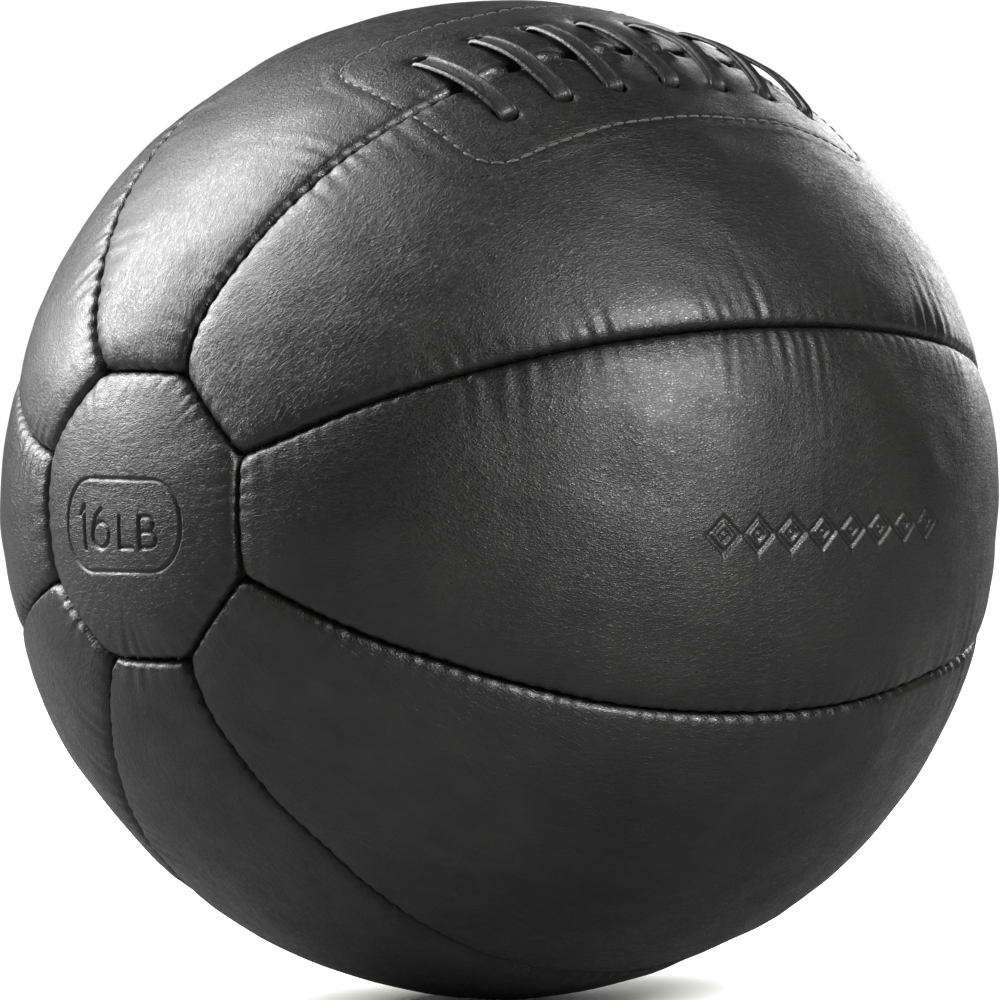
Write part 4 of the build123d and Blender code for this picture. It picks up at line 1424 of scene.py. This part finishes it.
@dataclass(frozen=True)
class Leather:
    """Chrome-tanned cowhide, dyed through and finished with a thin black resin that is plated smooth: a soft
    sheen broken by pores and by creases that run the way the hide was stretched."""

    name: str
    dark: str = "060606"
    light: str = "121110"
    smooth: float = 0.24
    rough: float = 0.38
    grain: float = 0.62  # width of a grain cell
    grain_depth: float = 0.050
    crease: float = 1.5  # spacing of the fine creases
    crease_depth: float = 0.085
    coat: float = 0.10
    patch: float = 40.0  # width of the broad patches of tone
    scuff: float = 9.0  # length of the scuffs that handling leaves
    stretch: float = 0.5  # of the grain along the panel, which pulls it into long cells
    dull: float = 0.22  # roughness that pores and creases add
    handled: float = -0.06  # roughness that handling takes off along a seam

    def build(self) -> bpy.types.Material:
        """Make the material."""
        material, tree = empty_material(self.name)
        place = add_node(tree, "ShaderNodeTexCoord").outputs["Object"]
        panel = add_node(tree, "ShaderNodeUVMap", uv_map="panel").outputs[0]
        rim = add_node(tree, "ShaderNodeAttribute", attribute_name="rim").outputs["Fac"]
        stretched = add_node(tree, "ShaderNodeMapping", {"Vector": panel,
                                                          "Scale": (self.stretch, 1.0, 1.0)}).outputs[0]
        patches = add_node(tree, "ShaderNodeTexNoise", {"Vector": place, "Scale": 1 / (self.patch * MM),
                                                        "Detail": 4.0})
        cells = add_node(tree, "ShaderNodeTexVoronoi", {"Vector": stretched, "Scale": 1 / (self.grain * MM),
                                                        "Randomness": 1.0}, feature="DISTANCE_TO_EDGE")
        valleys = add_node(tree, "ShaderNodeMapRange", {0: cells.outputs["Distance"], 1: 0.0, 2: 0.22})
        fine = add_node(tree, "ShaderNodeTexNoise", {"Vector": place, "Scale": 1 / (self.grain * MM),
                                                     "Detail": 2.0, "Roughness": 0.6})
        creases = add_node(tree, "ShaderNodeTexNoise", {"Vector": stretched, "Scale": 1 / (self.crease * MM),
                                                        "Detail": 3.0, "Roughness": 0.55, "Distortion": 0.9})
        folded = add_node(tree, "ShaderNodeMapRange", {0: creases.outputs[0], 1: 0.32, 2: 0.60})
        scuffs = add_node(tree, "ShaderNodeTexNoise", {"Vector": stretched, "Scale": 1 / (self.scuff * MM),
                                                       "Detail": 6.0, "Roughness": 0.7})
        mixed = add_node(tree, "ShaderNodeMath", {0: patches.outputs[0], 1: scuffs.outputs[0]},
                         operation="MULTIPLY")
        tone = add_node(tree, "ShaderNodeMapRange", {0: mixed.outputs[0], 1: 0.12, 2: 0.42})
        colour = add_node(tree, "ShaderNodeMix", {0: tone.outputs[0], 6: linear(self.dark),
                                                  7: linear(self.light)}, data_type="RGBA")
        worn = add_node(tree, "ShaderNodeMath", {0: valleys.outputs[0], 1: folded.outputs[0]},
                        operation="MULTIPLY")
        pitted = add_node(tree, "ShaderNodeMapRange", {0: worn.outputs[0], 1: 0.05, 2: 0.85,
                                                       3: self.dull, 4: 0.0})
        gloss = add_node(tree, "ShaderNodeMapRange", {0: scuffs.outputs[0], 1: 0.3, 2: 0.7,
                                                      3: self.rough, 4: self.smooth})
        polished = add_node(tree, "ShaderNodeMath", {0: rim, 1: self.handled}, operation="MULTIPLY")
        matt = add_node(tree, "ShaderNodeMath", {0: gloss.outputs[0], 1: polished.outputs[0]},
                        operation="ADD")
        roughness = add_node(tree, "ShaderNodeMath", {0: matt.outputs[0], 1: pitted.outputs[0]},
                             operation="ADD")
        folds = add_node(tree, "ShaderNodeBump", {"Height": folded.outputs[0], "Strength": 1.0,
                                                  "Distance": self.crease_depth * MM})
        pores = add_node(tree, "ShaderNodeBump", {"Height": valleys.outputs[0], "Strength": 1.0,
                                                  "Distance": self.grain_depth * MM,
                                                  "Normal": folds.outputs[0]})
        grit = add_node(tree, "ShaderNodeBump", {"Height": fine.outputs[0], "Strength": 1.0,
                                                 "Distance": self.grain_depth * 0.7 * MM,
                                                 "Normal": pores.outputs[0]})
        shader = add_node(tree, "ShaderNodeBsdfPrincipled",
                          {"Base Color": colour.outputs[2], "Roughness": roughness.outputs[0],
                           "Normal": grit.outputs[0], "IOR": 1.5, "Specular IOR Level": 0.40,
                           "Coat Weight": self.coat, "Coat Roughness": 0.25})
        add_node(tree, "ShaderNodeOutputMaterial", {"Surface": shader.outputs[0]})
        return material


@dataclass(frozen=True)
class Fibre:
    """Twisted or matted fibres: thread, batting and twine. Light catches along each strand."""

    name: str
    dark: str
    light: str
    strand: float  # width of a strand
    lean: float = 0.5  # of the twist
    roughness: float = 0.75
    depth: float = 0.12
    sheen: float = 0.2

    def build(self) -> bpy.types.Material:
        """Make the material."""
        material, tree = empty_material(self.name)
        place = add_node(tree, "ShaderNodeTexCoord").outputs["Object"]
        leaning = add_node(tree, "ShaderNodeMapping", {"Vector": place, "Rotation": (self.lean, self.lean, 0.4),
                                                       "Scale": (1.0, 0.3, 1.0)}).outputs[0]
        strands = add_node(tree, "ShaderNodeTexNoise", {"Vector": leaning, "Scale": 1 / (self.strand * MM),
                                                        "Detail": 6.0, "Roughness": 0.65, "Distortion": 1.2})
        colour = add_node(tree, "ShaderNodeMix", {0: strands.outputs[0], 6: linear(self.dark),
                                                  7: linear(self.light)}, data_type="RGBA")
        raised = add_node(tree, "ShaderNodeBump", {"Height": strands.outputs[0], "Strength": 1.0,
                                                   "Distance": self.depth * MM})
        shader = add_node(tree, "ShaderNodeBsdfPrincipled",
                          {"Base Color": colour.outputs[2], "Roughness": self.roughness,
                           "Normal": raised.outputs[0], "Sheen Weight": self.sheen, "Sheen Roughness": 0.5})
        add_node(tree, "ShaderNodeOutputMaterial", {"Surface": shader.outputs[0]})
        return material


@dataclass(frozen=True)
class Weave:
    """Plain-woven cloth: threads pass over and under each other in both directions."""

    name: str
    dark: str
    light: str
    spacing: float  # between two threads
    roughness: float = 0.85
    depth: float = 0.18

    def build(self) -> bpy.types.Material:
        """Make the material."""
        material, tree = empty_material(self.name)
        place = add_node(tree, "ShaderNodeTexCoord").outputs["Object"]
        waves = []
        for direction in ("X", "Z"):
            scale = math.pi / 10 / (self.spacing * MM)
            wave = add_node(tree, "ShaderNodeTexWave", {"Vector": place, "Scale": scale, "Distortion": 0.5,
                                                        "Detail": 2.0}, bands_direction=direction)
            waves.append(wave.outputs["Fac"])
        crossed = add_node(tree, "ShaderNodeMath", {0: waves[0], 1: waves[1]}, operation="MULTIPLY")
        # Painted shade: the colour goes to the dark tint where the threads lie low, as shadow between them,
        # over the bump of the same pattern.
        colour = add_node(tree, "ShaderNodeMix", {0: crossed.outputs[0], 6: linear(self.dark),
                                                  7: linear(self.light)}, data_type="RGBA")
        raised = add_node(tree, "ShaderNodeBump", {"Height": crossed.outputs[0], "Strength": 1.0,
                                                   "Distance": self.depth * MM})
        shader = add_node(tree, "ShaderNodeBsdfPrincipled",
                          {"Base Color": colour.outputs[2], "Roughness": self.roughness,
                           "Normal": raised.outputs[0], "Sheen Weight": 0.15})
        add_node(tree, "ShaderNodeOutputMaterial", {"Surface": shader.outputs[0]})
        return material


@dataclass(frozen=True)
class Sand:
    """Dry washed sand: pale and dark grains, each a fraction of a millimetre."""

    name: str = "dry_washed_sand"
    grain: float = 0.8

    def build(self) -> bpy.types.Material:
        """Make the material."""
        material, tree = empty_material(self.name)
        place = add_node(tree, "ShaderNodeTexCoord").outputs["Object"]
        grains = add_node(tree, "ShaderNodeTexVoronoi", {"Vector": place, "Scale": 1 / (self.grain * MM)})
        tint = add_node(tree, "ShaderNodeSeparateColor", {"Color": grains.outputs["Color"]}).outputs[0]
        colour = add_node(tree, "ShaderNodeMix", {0: tint, 6: linear("8a7757"), 7: linear("d6c49a")},
                          data_type="RGBA")
        raised = add_node(tree, "ShaderNodeBump", {"Height": grains.outputs["Distance"], "Strength": 1.0,
                                                   "Distance": 0.3 * MM}, invert=True)
        shader = add_node(tree, "ShaderNodeBsdfPrincipled",
                          {"Base Color": colour.outputs[2], "Roughness": 0.9, "Normal": raised.outputs[0]})
        add_node(tree, "ShaderNodeOutputMaterial", {"Surface": shader.outputs[0]})
        return material


# ---- assemblies


@dataclass
class Ball:
    """The whole ball: it builds each sub-assembly in turn and dresses it."""

    cut: Cut
    slit: Slit
    shape: SewnShape
    relief: Relief
    finishes: dict
    seam_stitch: float = 6.0
    facing_stitch: float = 4.6
    end_margin: float = 7.0  # from a seam's corner to its first stitch
    relief_margin: float = 3.5  # from the cut-away allowance to the first stitch past it
    cap_stitched: float = 0.72  # of each edge of a cap, as a share
    rail_offset: float = 0.45  # of a saddle stitch's thread from the allowance it lies on
    proud: float = 0.2  # of the facings' stitches over the leather
    cap_seed: int = 20
    facing_seed: int = 40

    def register(self, piece: bpy.types.Object, nodes: tuple, slot: str, finish: str) -> None:
        """Give a piece its finish, say what it rides on, and hide the CAD parts that it stands in for."""
        piece.data.materials.clear()
        piece.data.materials.append(self.finishes[finish])
        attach(piece, "root")
        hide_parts(*nodes)
        log.info("%s: %d faces", piece.name, len(piece.data.polygons))

    def build_cover(self) -> None:
        """Build the eight gores and the two caps."""
        names = ("gore_top", "gore_upper_front", "gore_front", "gore_lower_front",
                 "gore_bottom", "gore_lower_back", "gore_back", "gore_upper_back")
        common = {"cut": self.cut, "shape": self.shape, "relief": self.relief}
        beside_slit = self.slit.facing_reach + 4
        panels: list[Panel] = []
        for number, name in enumerate(names):
            panels.append(Gore("sewn_" + name, name, number=number, **common,
                               fine_first=beside_slit if name == "gore_upper_front" else 0.0,
                               fine_last=beside_slit if name == "gore_top" else 0.0,
                               lozenges=LozengeRow() if name == "gore_front" else None))
        panels.append(Cap("sewn_cap_marked", "cap_marked", end=-1, mesh_step=0.42, mark=WeightMark(), **common))
        panels.append(Cap("sewn_cap_plain", "cap_plain", end=1, **common))
        for panel in panels:
            piece = panel.build()
            self.register(piece, (panel.node,), "black_leather", "plated_cowhide")

    def build_lacing(self) -> None:
        """Build the lace, and bring the facings, the tongue and the lining's stitching to the sewn slit."""
        lace = Lace(self.cut, self.shape, self.slit, self.relief).build()
        self.register(lace, ("lace",), "lace_leather", "cut_lace_cowhide")
        for node, slot, finish in (("facing_front", "facing_leather", "brushed_split_cowhide"),
                                   ("facing_back", "facing_leather", "brushed_split_cowhide"),
                                   ("tongue", "facing_leather", "brushed_split_cowhide"),
                                   ("lining_closing_thread", "lining_thread", "twisted_cotton_thread")):
            self.register(sewn_copy(node, "sewn_" + node, self.shape), (node,), slot, finish)

    def seam_path(self, turn: float, first: float, last: float, depth: float) -> Array:
        """Points along a seam between two tilts, this deep below the ball's face."""
        tilt = np.linspace(first, last, 160)
        return self.shape.place(Cut.direction(tilt, np.full_like(tilt, turn))) * (self.cut.radius - depth)

    def build_seam_threads(self) -> None:
        """Sew the seams between gores and round the caps, inside the turned-in allowances."""
        depth = self.cut.leather + self.cut.allowance_depth / 2
        spread = 2 * (self.cut.seam_gap / 2 + self.cut.allowance_thickness + self.rail_offset)
        row = StitchRow(Stitch.SADDLE, pitch=self.seam_stitch, width=1.2, height=1.2, dash=5.8, depth=spread)
        start = self.cut.cap_corner + self.end_margin / self.cut.radius
        middle = math.pi / 2 + self.slit.shift / self.cut.radius
        relieved = self.slit.half_length + self.slit.allowance_relief
        relief = (relieved + self.relief_margin) / self.cut.radius
        spans = {f"seam_thread_{n + 1}": (n, start, math.pi - start) for n in range(self.cut.gores) if n != 1}
        spans["seam_thread_laced_marked_end"] = (1, start, middle - relief)
        spans["seam_thread_laced_plain_end"] = (1, middle + relief, math.pi - start)
        for name, (number, first, last) in spans.items():
            turn = (2 * number - 1) * self.cut.half_gore
            path = self.seam_path(turn, first, last, depth)
            self.dress_thread(row, "sewn_" + name, name, [path], number)
        for end, name in ((-1, "cap_thread_marked"), (1, "cap_thread_plain")):
            paths = []
            for number in range(self.cut.gores):
                reach = self.cut.half_gore * self.cap_stitched
                turn = np.linspace(-reach, reach, 24)
                tilt = self.cut.cap_edge(turn)
                tilt = tilt if end < 0 else math.pi - tilt
                directions = Cut.direction(tilt, turn + 2 * self.cut.half_gore * number)
                paths.append(self.shape.place(directions) * (self.cut.radius - depth))
            self.dress_thread(row, "sewn_" + name, name, paths, self.cap_seed + end)

    def build_facing_threads(self) -> None:
        """Sew the facings' outline through the leather, round three sides of each."""
        row = StitchRow(Stitch.RUNNING, pitch=self.facing_stitch, width=1.0, height=0.7, dash=3.3, depth=5.2)
        end = self.slit.facing_half - self.slit.stitch_inset
        reach = self.slit.facing_reach - self.slit.stitch_inset
        radius = self.slit.facing_corner - self.slit.stitch_inset
        quarter = np.linspace(0, math.pi / 2, 16)
        for side, name in ((1, "facing_thread_front"), (-1, "facing_thread_back")):
            down = np.linspace(self.slit.stitch_start, reach - radius, 20)
            flat = np.linspace(-(end - radius), end - radius, 90)
            along = np.concatenate((np.full(19, -end), -(end - radius) - radius * np.cos(quarter), flat[1:-1],
                                    (end - radius) + radius * np.sin(quarter), np.full(19, end)))
            across = np.concatenate((down[:-1], (reach - radius) + radius * np.sin(quarter),
                                     np.full(88, reach), (reach - radius) + radius * np.cos(quarter),
                                     down[::-1][1:]))
            directions = self.slit.direction(along, side * across)
            height = self.relief.body(directions) + self.relief.lacing(directions) + self.proud
            path = self.shape.place(directions) * (self.cut.radius + height)[:, None]
            self.dress_thread(row, "sewn_" + name, name, [path], self.facing_seed + side)

    def dress_thread(self, row: StitchRow, name: str, node: str, paths: list, seed: int) -> None:
        """Sew one thread and register it."""
        piece = row.sew(name, paths, self.finishes["twisted_waxed_thread"], seed)
        self.register(piece, (node,), "waxed_thread", "twisted_waxed_thread")

    def dress_inside(self) -> None:
        """Give the parts inside the cover, which keep their CAD shape, their finishes."""
        inside = {"lining_bag": "woven_cotton", "stuffing": "shredded_felted_textile",
                  "weight_bag": "woven_canvas", "weight_bag_tie": "twisted_jute_twine",
                  "weight_fill": "dry_washed_sand"}
        for node, finish in inside.items():
            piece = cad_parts[node]
            for slot in piece.material_slots:
                slot.material = self.finishes[finish]
            log.info("%s: dressed in %s", node, finish)


def make_finishes() -> dict:
    """Build every finish once, by name."""
    finishes = (
        # Pressed smooth under a heated plate: a soft, broad shine over a fine, stretched grain.
        Leather("plated_cowhide"),
        # Cut from the same hide and pulled through holes: duller, with creases closer together.
        Leather("cut_lace_cowhide", dark="080808", light="161514", smooth=0.28, rough=0.46, grain=0.6,
                grain_depth=0.05, crease=1.2, crease_depth=0.08),
        # The hide's under layer, brushed up: a dark nap without any shine.
        Leather("brushed_split_cowhide", dark="0d0c0b", light="1c1917", smooth=0.7, rough=0.9, grain=0.7,
                grain_depth=0.08, crease=1.8, crease_depth=0.1, coat=0.0),
        # Several plies twisted and drawn through wax: small, greasy glints along each stitch.
        Fibre("twisted_waxed_thread", dark="070707", light="24211f", strand=0.35, roughness=0.5),
        # Unbleached and dry: pale, matt and slightly hairy.
        Fibre("twisted_cotton_thread", dark="b9ab8c", light="e6dcc2", strand=0.3),
        # Fine plain cloth: an even, chalky surface with shadows between its threads.
        Weave("woven_cotton", dark="a3977c", light="d9cfb6", spacing=0.9),
        # Offcuts torn up and matted: a blotchy mix of greys with no direction.
        Fibre("shredded_felted_textile", dark="55565c", light="b7b4ab", strand=4.0, depth=1.2, lean=1.1),
        # Heavier yarn than the lining's: a coarse weave whose crossings stand out.
        Weave("woven_canvas", dark="776c52", light="b5a681", spacing=1.4, depth=0.3),
        # Stiff brown bast fibres laid in a rope: strong, uneven streaks along the twist.
        Fibre("twisted_jute_twine", dark="6e5635", light="b6945f", strand=0.7, depth=0.3),
        # Every grain has its own tint, so the fill sparkles without a shine of its own.
        Sand(),
    )
    return {finish.name: finish.build() for finish in finishes}


# ---- studio


@dataclass(frozen=True)
class Softbox:
    """One soft light, aimed by how far it stands to the camera's right, up, and towards the camera."""

    name: str
    aim: tuple
    size: tuple
    power: float
    distance: float = 1.6


@dataclass
class Studio:
    """Pale floor, white surroundings, soft lights and the camera."""

    radius: float
    azimuth: float = math.radians(-42.37)
    elevation: float = math.radians(2.74)
    distance_in_radii: float = 20.0
    framed: float = 498.9 / 500  # share of half the camera's view that the ball fills
    sensor: float = 36.0
    floor_half: float = 40.0  # metres
    floor_gap: float = 0.0008  # metres under the ball
    sky: float = 1.07
    sky_in_gloss: float = 0.03
    lights: tuple = (
        Softbox("upper_left_softbox", (-0.74, 0.62, -0.28), (0.75, 1.3), 84),
        Softbox("right_rear_softbox", (0.38, 0.34, -0.86), (0.8, 0.8), 11),
        Softbox("front_key", (0.57, 0.43, 0.70), (0.55, 0.5), 42),
        Softbox("left_rear_fill", (-0.80, 0.34, -0.48), (0.25, 0.4), 3),
        Softbox("low_right_fill", (0.66, -0.66, 0.10), (0.7, 0.4), 3.5),
    )

    def axes(self) -> tuple[Vector, Vector, Vector]:
        """Right, up and towards the camera, as directions in the frame."""
        back = Vector((math.sin(self.azimuth) * math.cos(self.elevation),
                       -math.cos(self.azimuth) * math.cos(self.elevation), math.sin(self.elevation)))
        right = Vector((0, 0, 1)).cross(back).normalized()
        return right, back.cross(right), back

    def build_camera(self) -> None:
        """Set the camera so that the ball fills its view from side to side."""
        camera = bpy.data.cameras.new("camera")
        camera.sensor_width = self.sensor
        half_angle = math.asin(1 / self.distance_in_radii)
        camera.lens = self.sensor / 2 * self.framed / math.tan(half_angle)
        camera.clip_start, camera.clip_end = 0.1, 100
        stand = link_object("camera", camera)
        _, _, back = self.axes()
        stand.location = back * self.radius * MM * self.distance_in_radii
        stand.rotation_mode = "QUATERNION"
        stand.rotation_quaternion = back.to_track_quat("Z", "Y")
        bpy.context.scene.camera = stand

    def build_lights(self) -> None:
        """Set the softboxes round the ball, unseen by the camera."""
        right, up, back = self.axes()
        for box in self.lights:
            light = bpy.data.lights.new(box.name, "AREA")
            light.shape = "RECTANGLE"
            light.size, light.size_y = box.size
            light.energy = box.power
            stand = link_object(box.name, light)
            aim = (right * box.aim[0] + up * box.aim[1] + back * box.aim[2]).normalized()
            stand.location = aim * box.distance
            stand.rotation_mode = "QUATERNION"
            stand.rotation_quaternion = aim.to_track_quat("Z", "Y")
            stand.visible_camera = False

    def build_floor(self) -> None:
        """Lay a wide pale floor under the ball."""
        mesh = bpy.data.meshes.new("studio_floor")
        half, low = self.floor_half, -self.radius * MM - self.floor_gap
        corners = [(-half, -half, low), (half, -half, low), (half, half, low), (-half, half, low)]
        mesh.from_pydata(corners, [], [(0, 1, 2, 3)])
        floor = link_object("studio_floor", mesh)
        # Rolled on without gloss: even and white to the camera and to diffuse light, with a painted mid grey
        # shade in glossy rays, so the leather mirrors it darker than it is.
        material, tree = empty_material("white_floor_shaded_in_reflections")
        rays = add_node(tree, "ShaderNodeLightPath")
        # Painted shade: white for camera and diffuse rays, mid grey where the leather reflects the floor.
        floor_tone_and_reflection_shade = add_node(tree, "ShaderNodeMix", {0: rays.outputs["Is Glossy Ray"], 6: linear("fbfbfa"),
                                                 7: linear("6c6c6c")}, data_type="RGBA")
        shader = add_node(tree, "ShaderNodeBsdfDiffuse", {"Color": floor_tone_and_reflection_shade.outputs[2], "Roughness": 0.0})
        add_node(tree, "ShaderNodeOutputMaterial", {"Surface": shader.outputs[0]})
        mesh.materials.append(material)

    def build_world(self) -> None:
        """White surroundings that light the floor but hardly show in the leather."""
        world = bpy.data.worlds.new("studio")
        bpy.context.scene.world = world
        world.use_nodes = True
        tree = world.node_tree
        tree.nodes.clear()
        rays = add_node(tree, "ShaderNodeLightPath")
        strength = add_node(tree, "ShaderNodeMapRange", {0: rays.outputs["Is Glossy Ray"],
                                                         3: self.sky, 4: self.sky_in_gloss})
        sky = add_node(tree, "ShaderNodeBackground", {"Color": linear("ffffff"),
                                                      "Strength": strength.outputs[0]})
        add_node(tree, "ShaderNodeOutputWorld", {"Surface": sky.outputs[0]})

    def build(self) -> None:
        """Build the whole studio."""
        self.build_camera()
        self.build_lights()
        self.build_floor()
        self.build_world()
        bpy.context.scene.view_settings.view_transform = "Standard"


def main() -> None:
    """Build the studio, the ball and its finishes."""
    logging.basicConfig(level=logging.INFO, format="%(name)s: %(message)s")
    radius = -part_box("gore_bottom")[0][2] / MM
    log.info("ball radius %.2f mm", radius)
    cut = Cut(radius)
    slit = Slit(cut)
    Studio(radius).build()
    stuffed = StuffedCover(cut).simulate()
    ball = Ball(cut, slit, SewnShape(cut), Relief(cut, slit, stuffed), make_finishes())
    ball.build_cover()
    ball.build_lacing()
    ball.build_seam_threads()
    ball.build_facing_threads()
    ball.dress_inside()


if __name__ == "__main__":
    main()
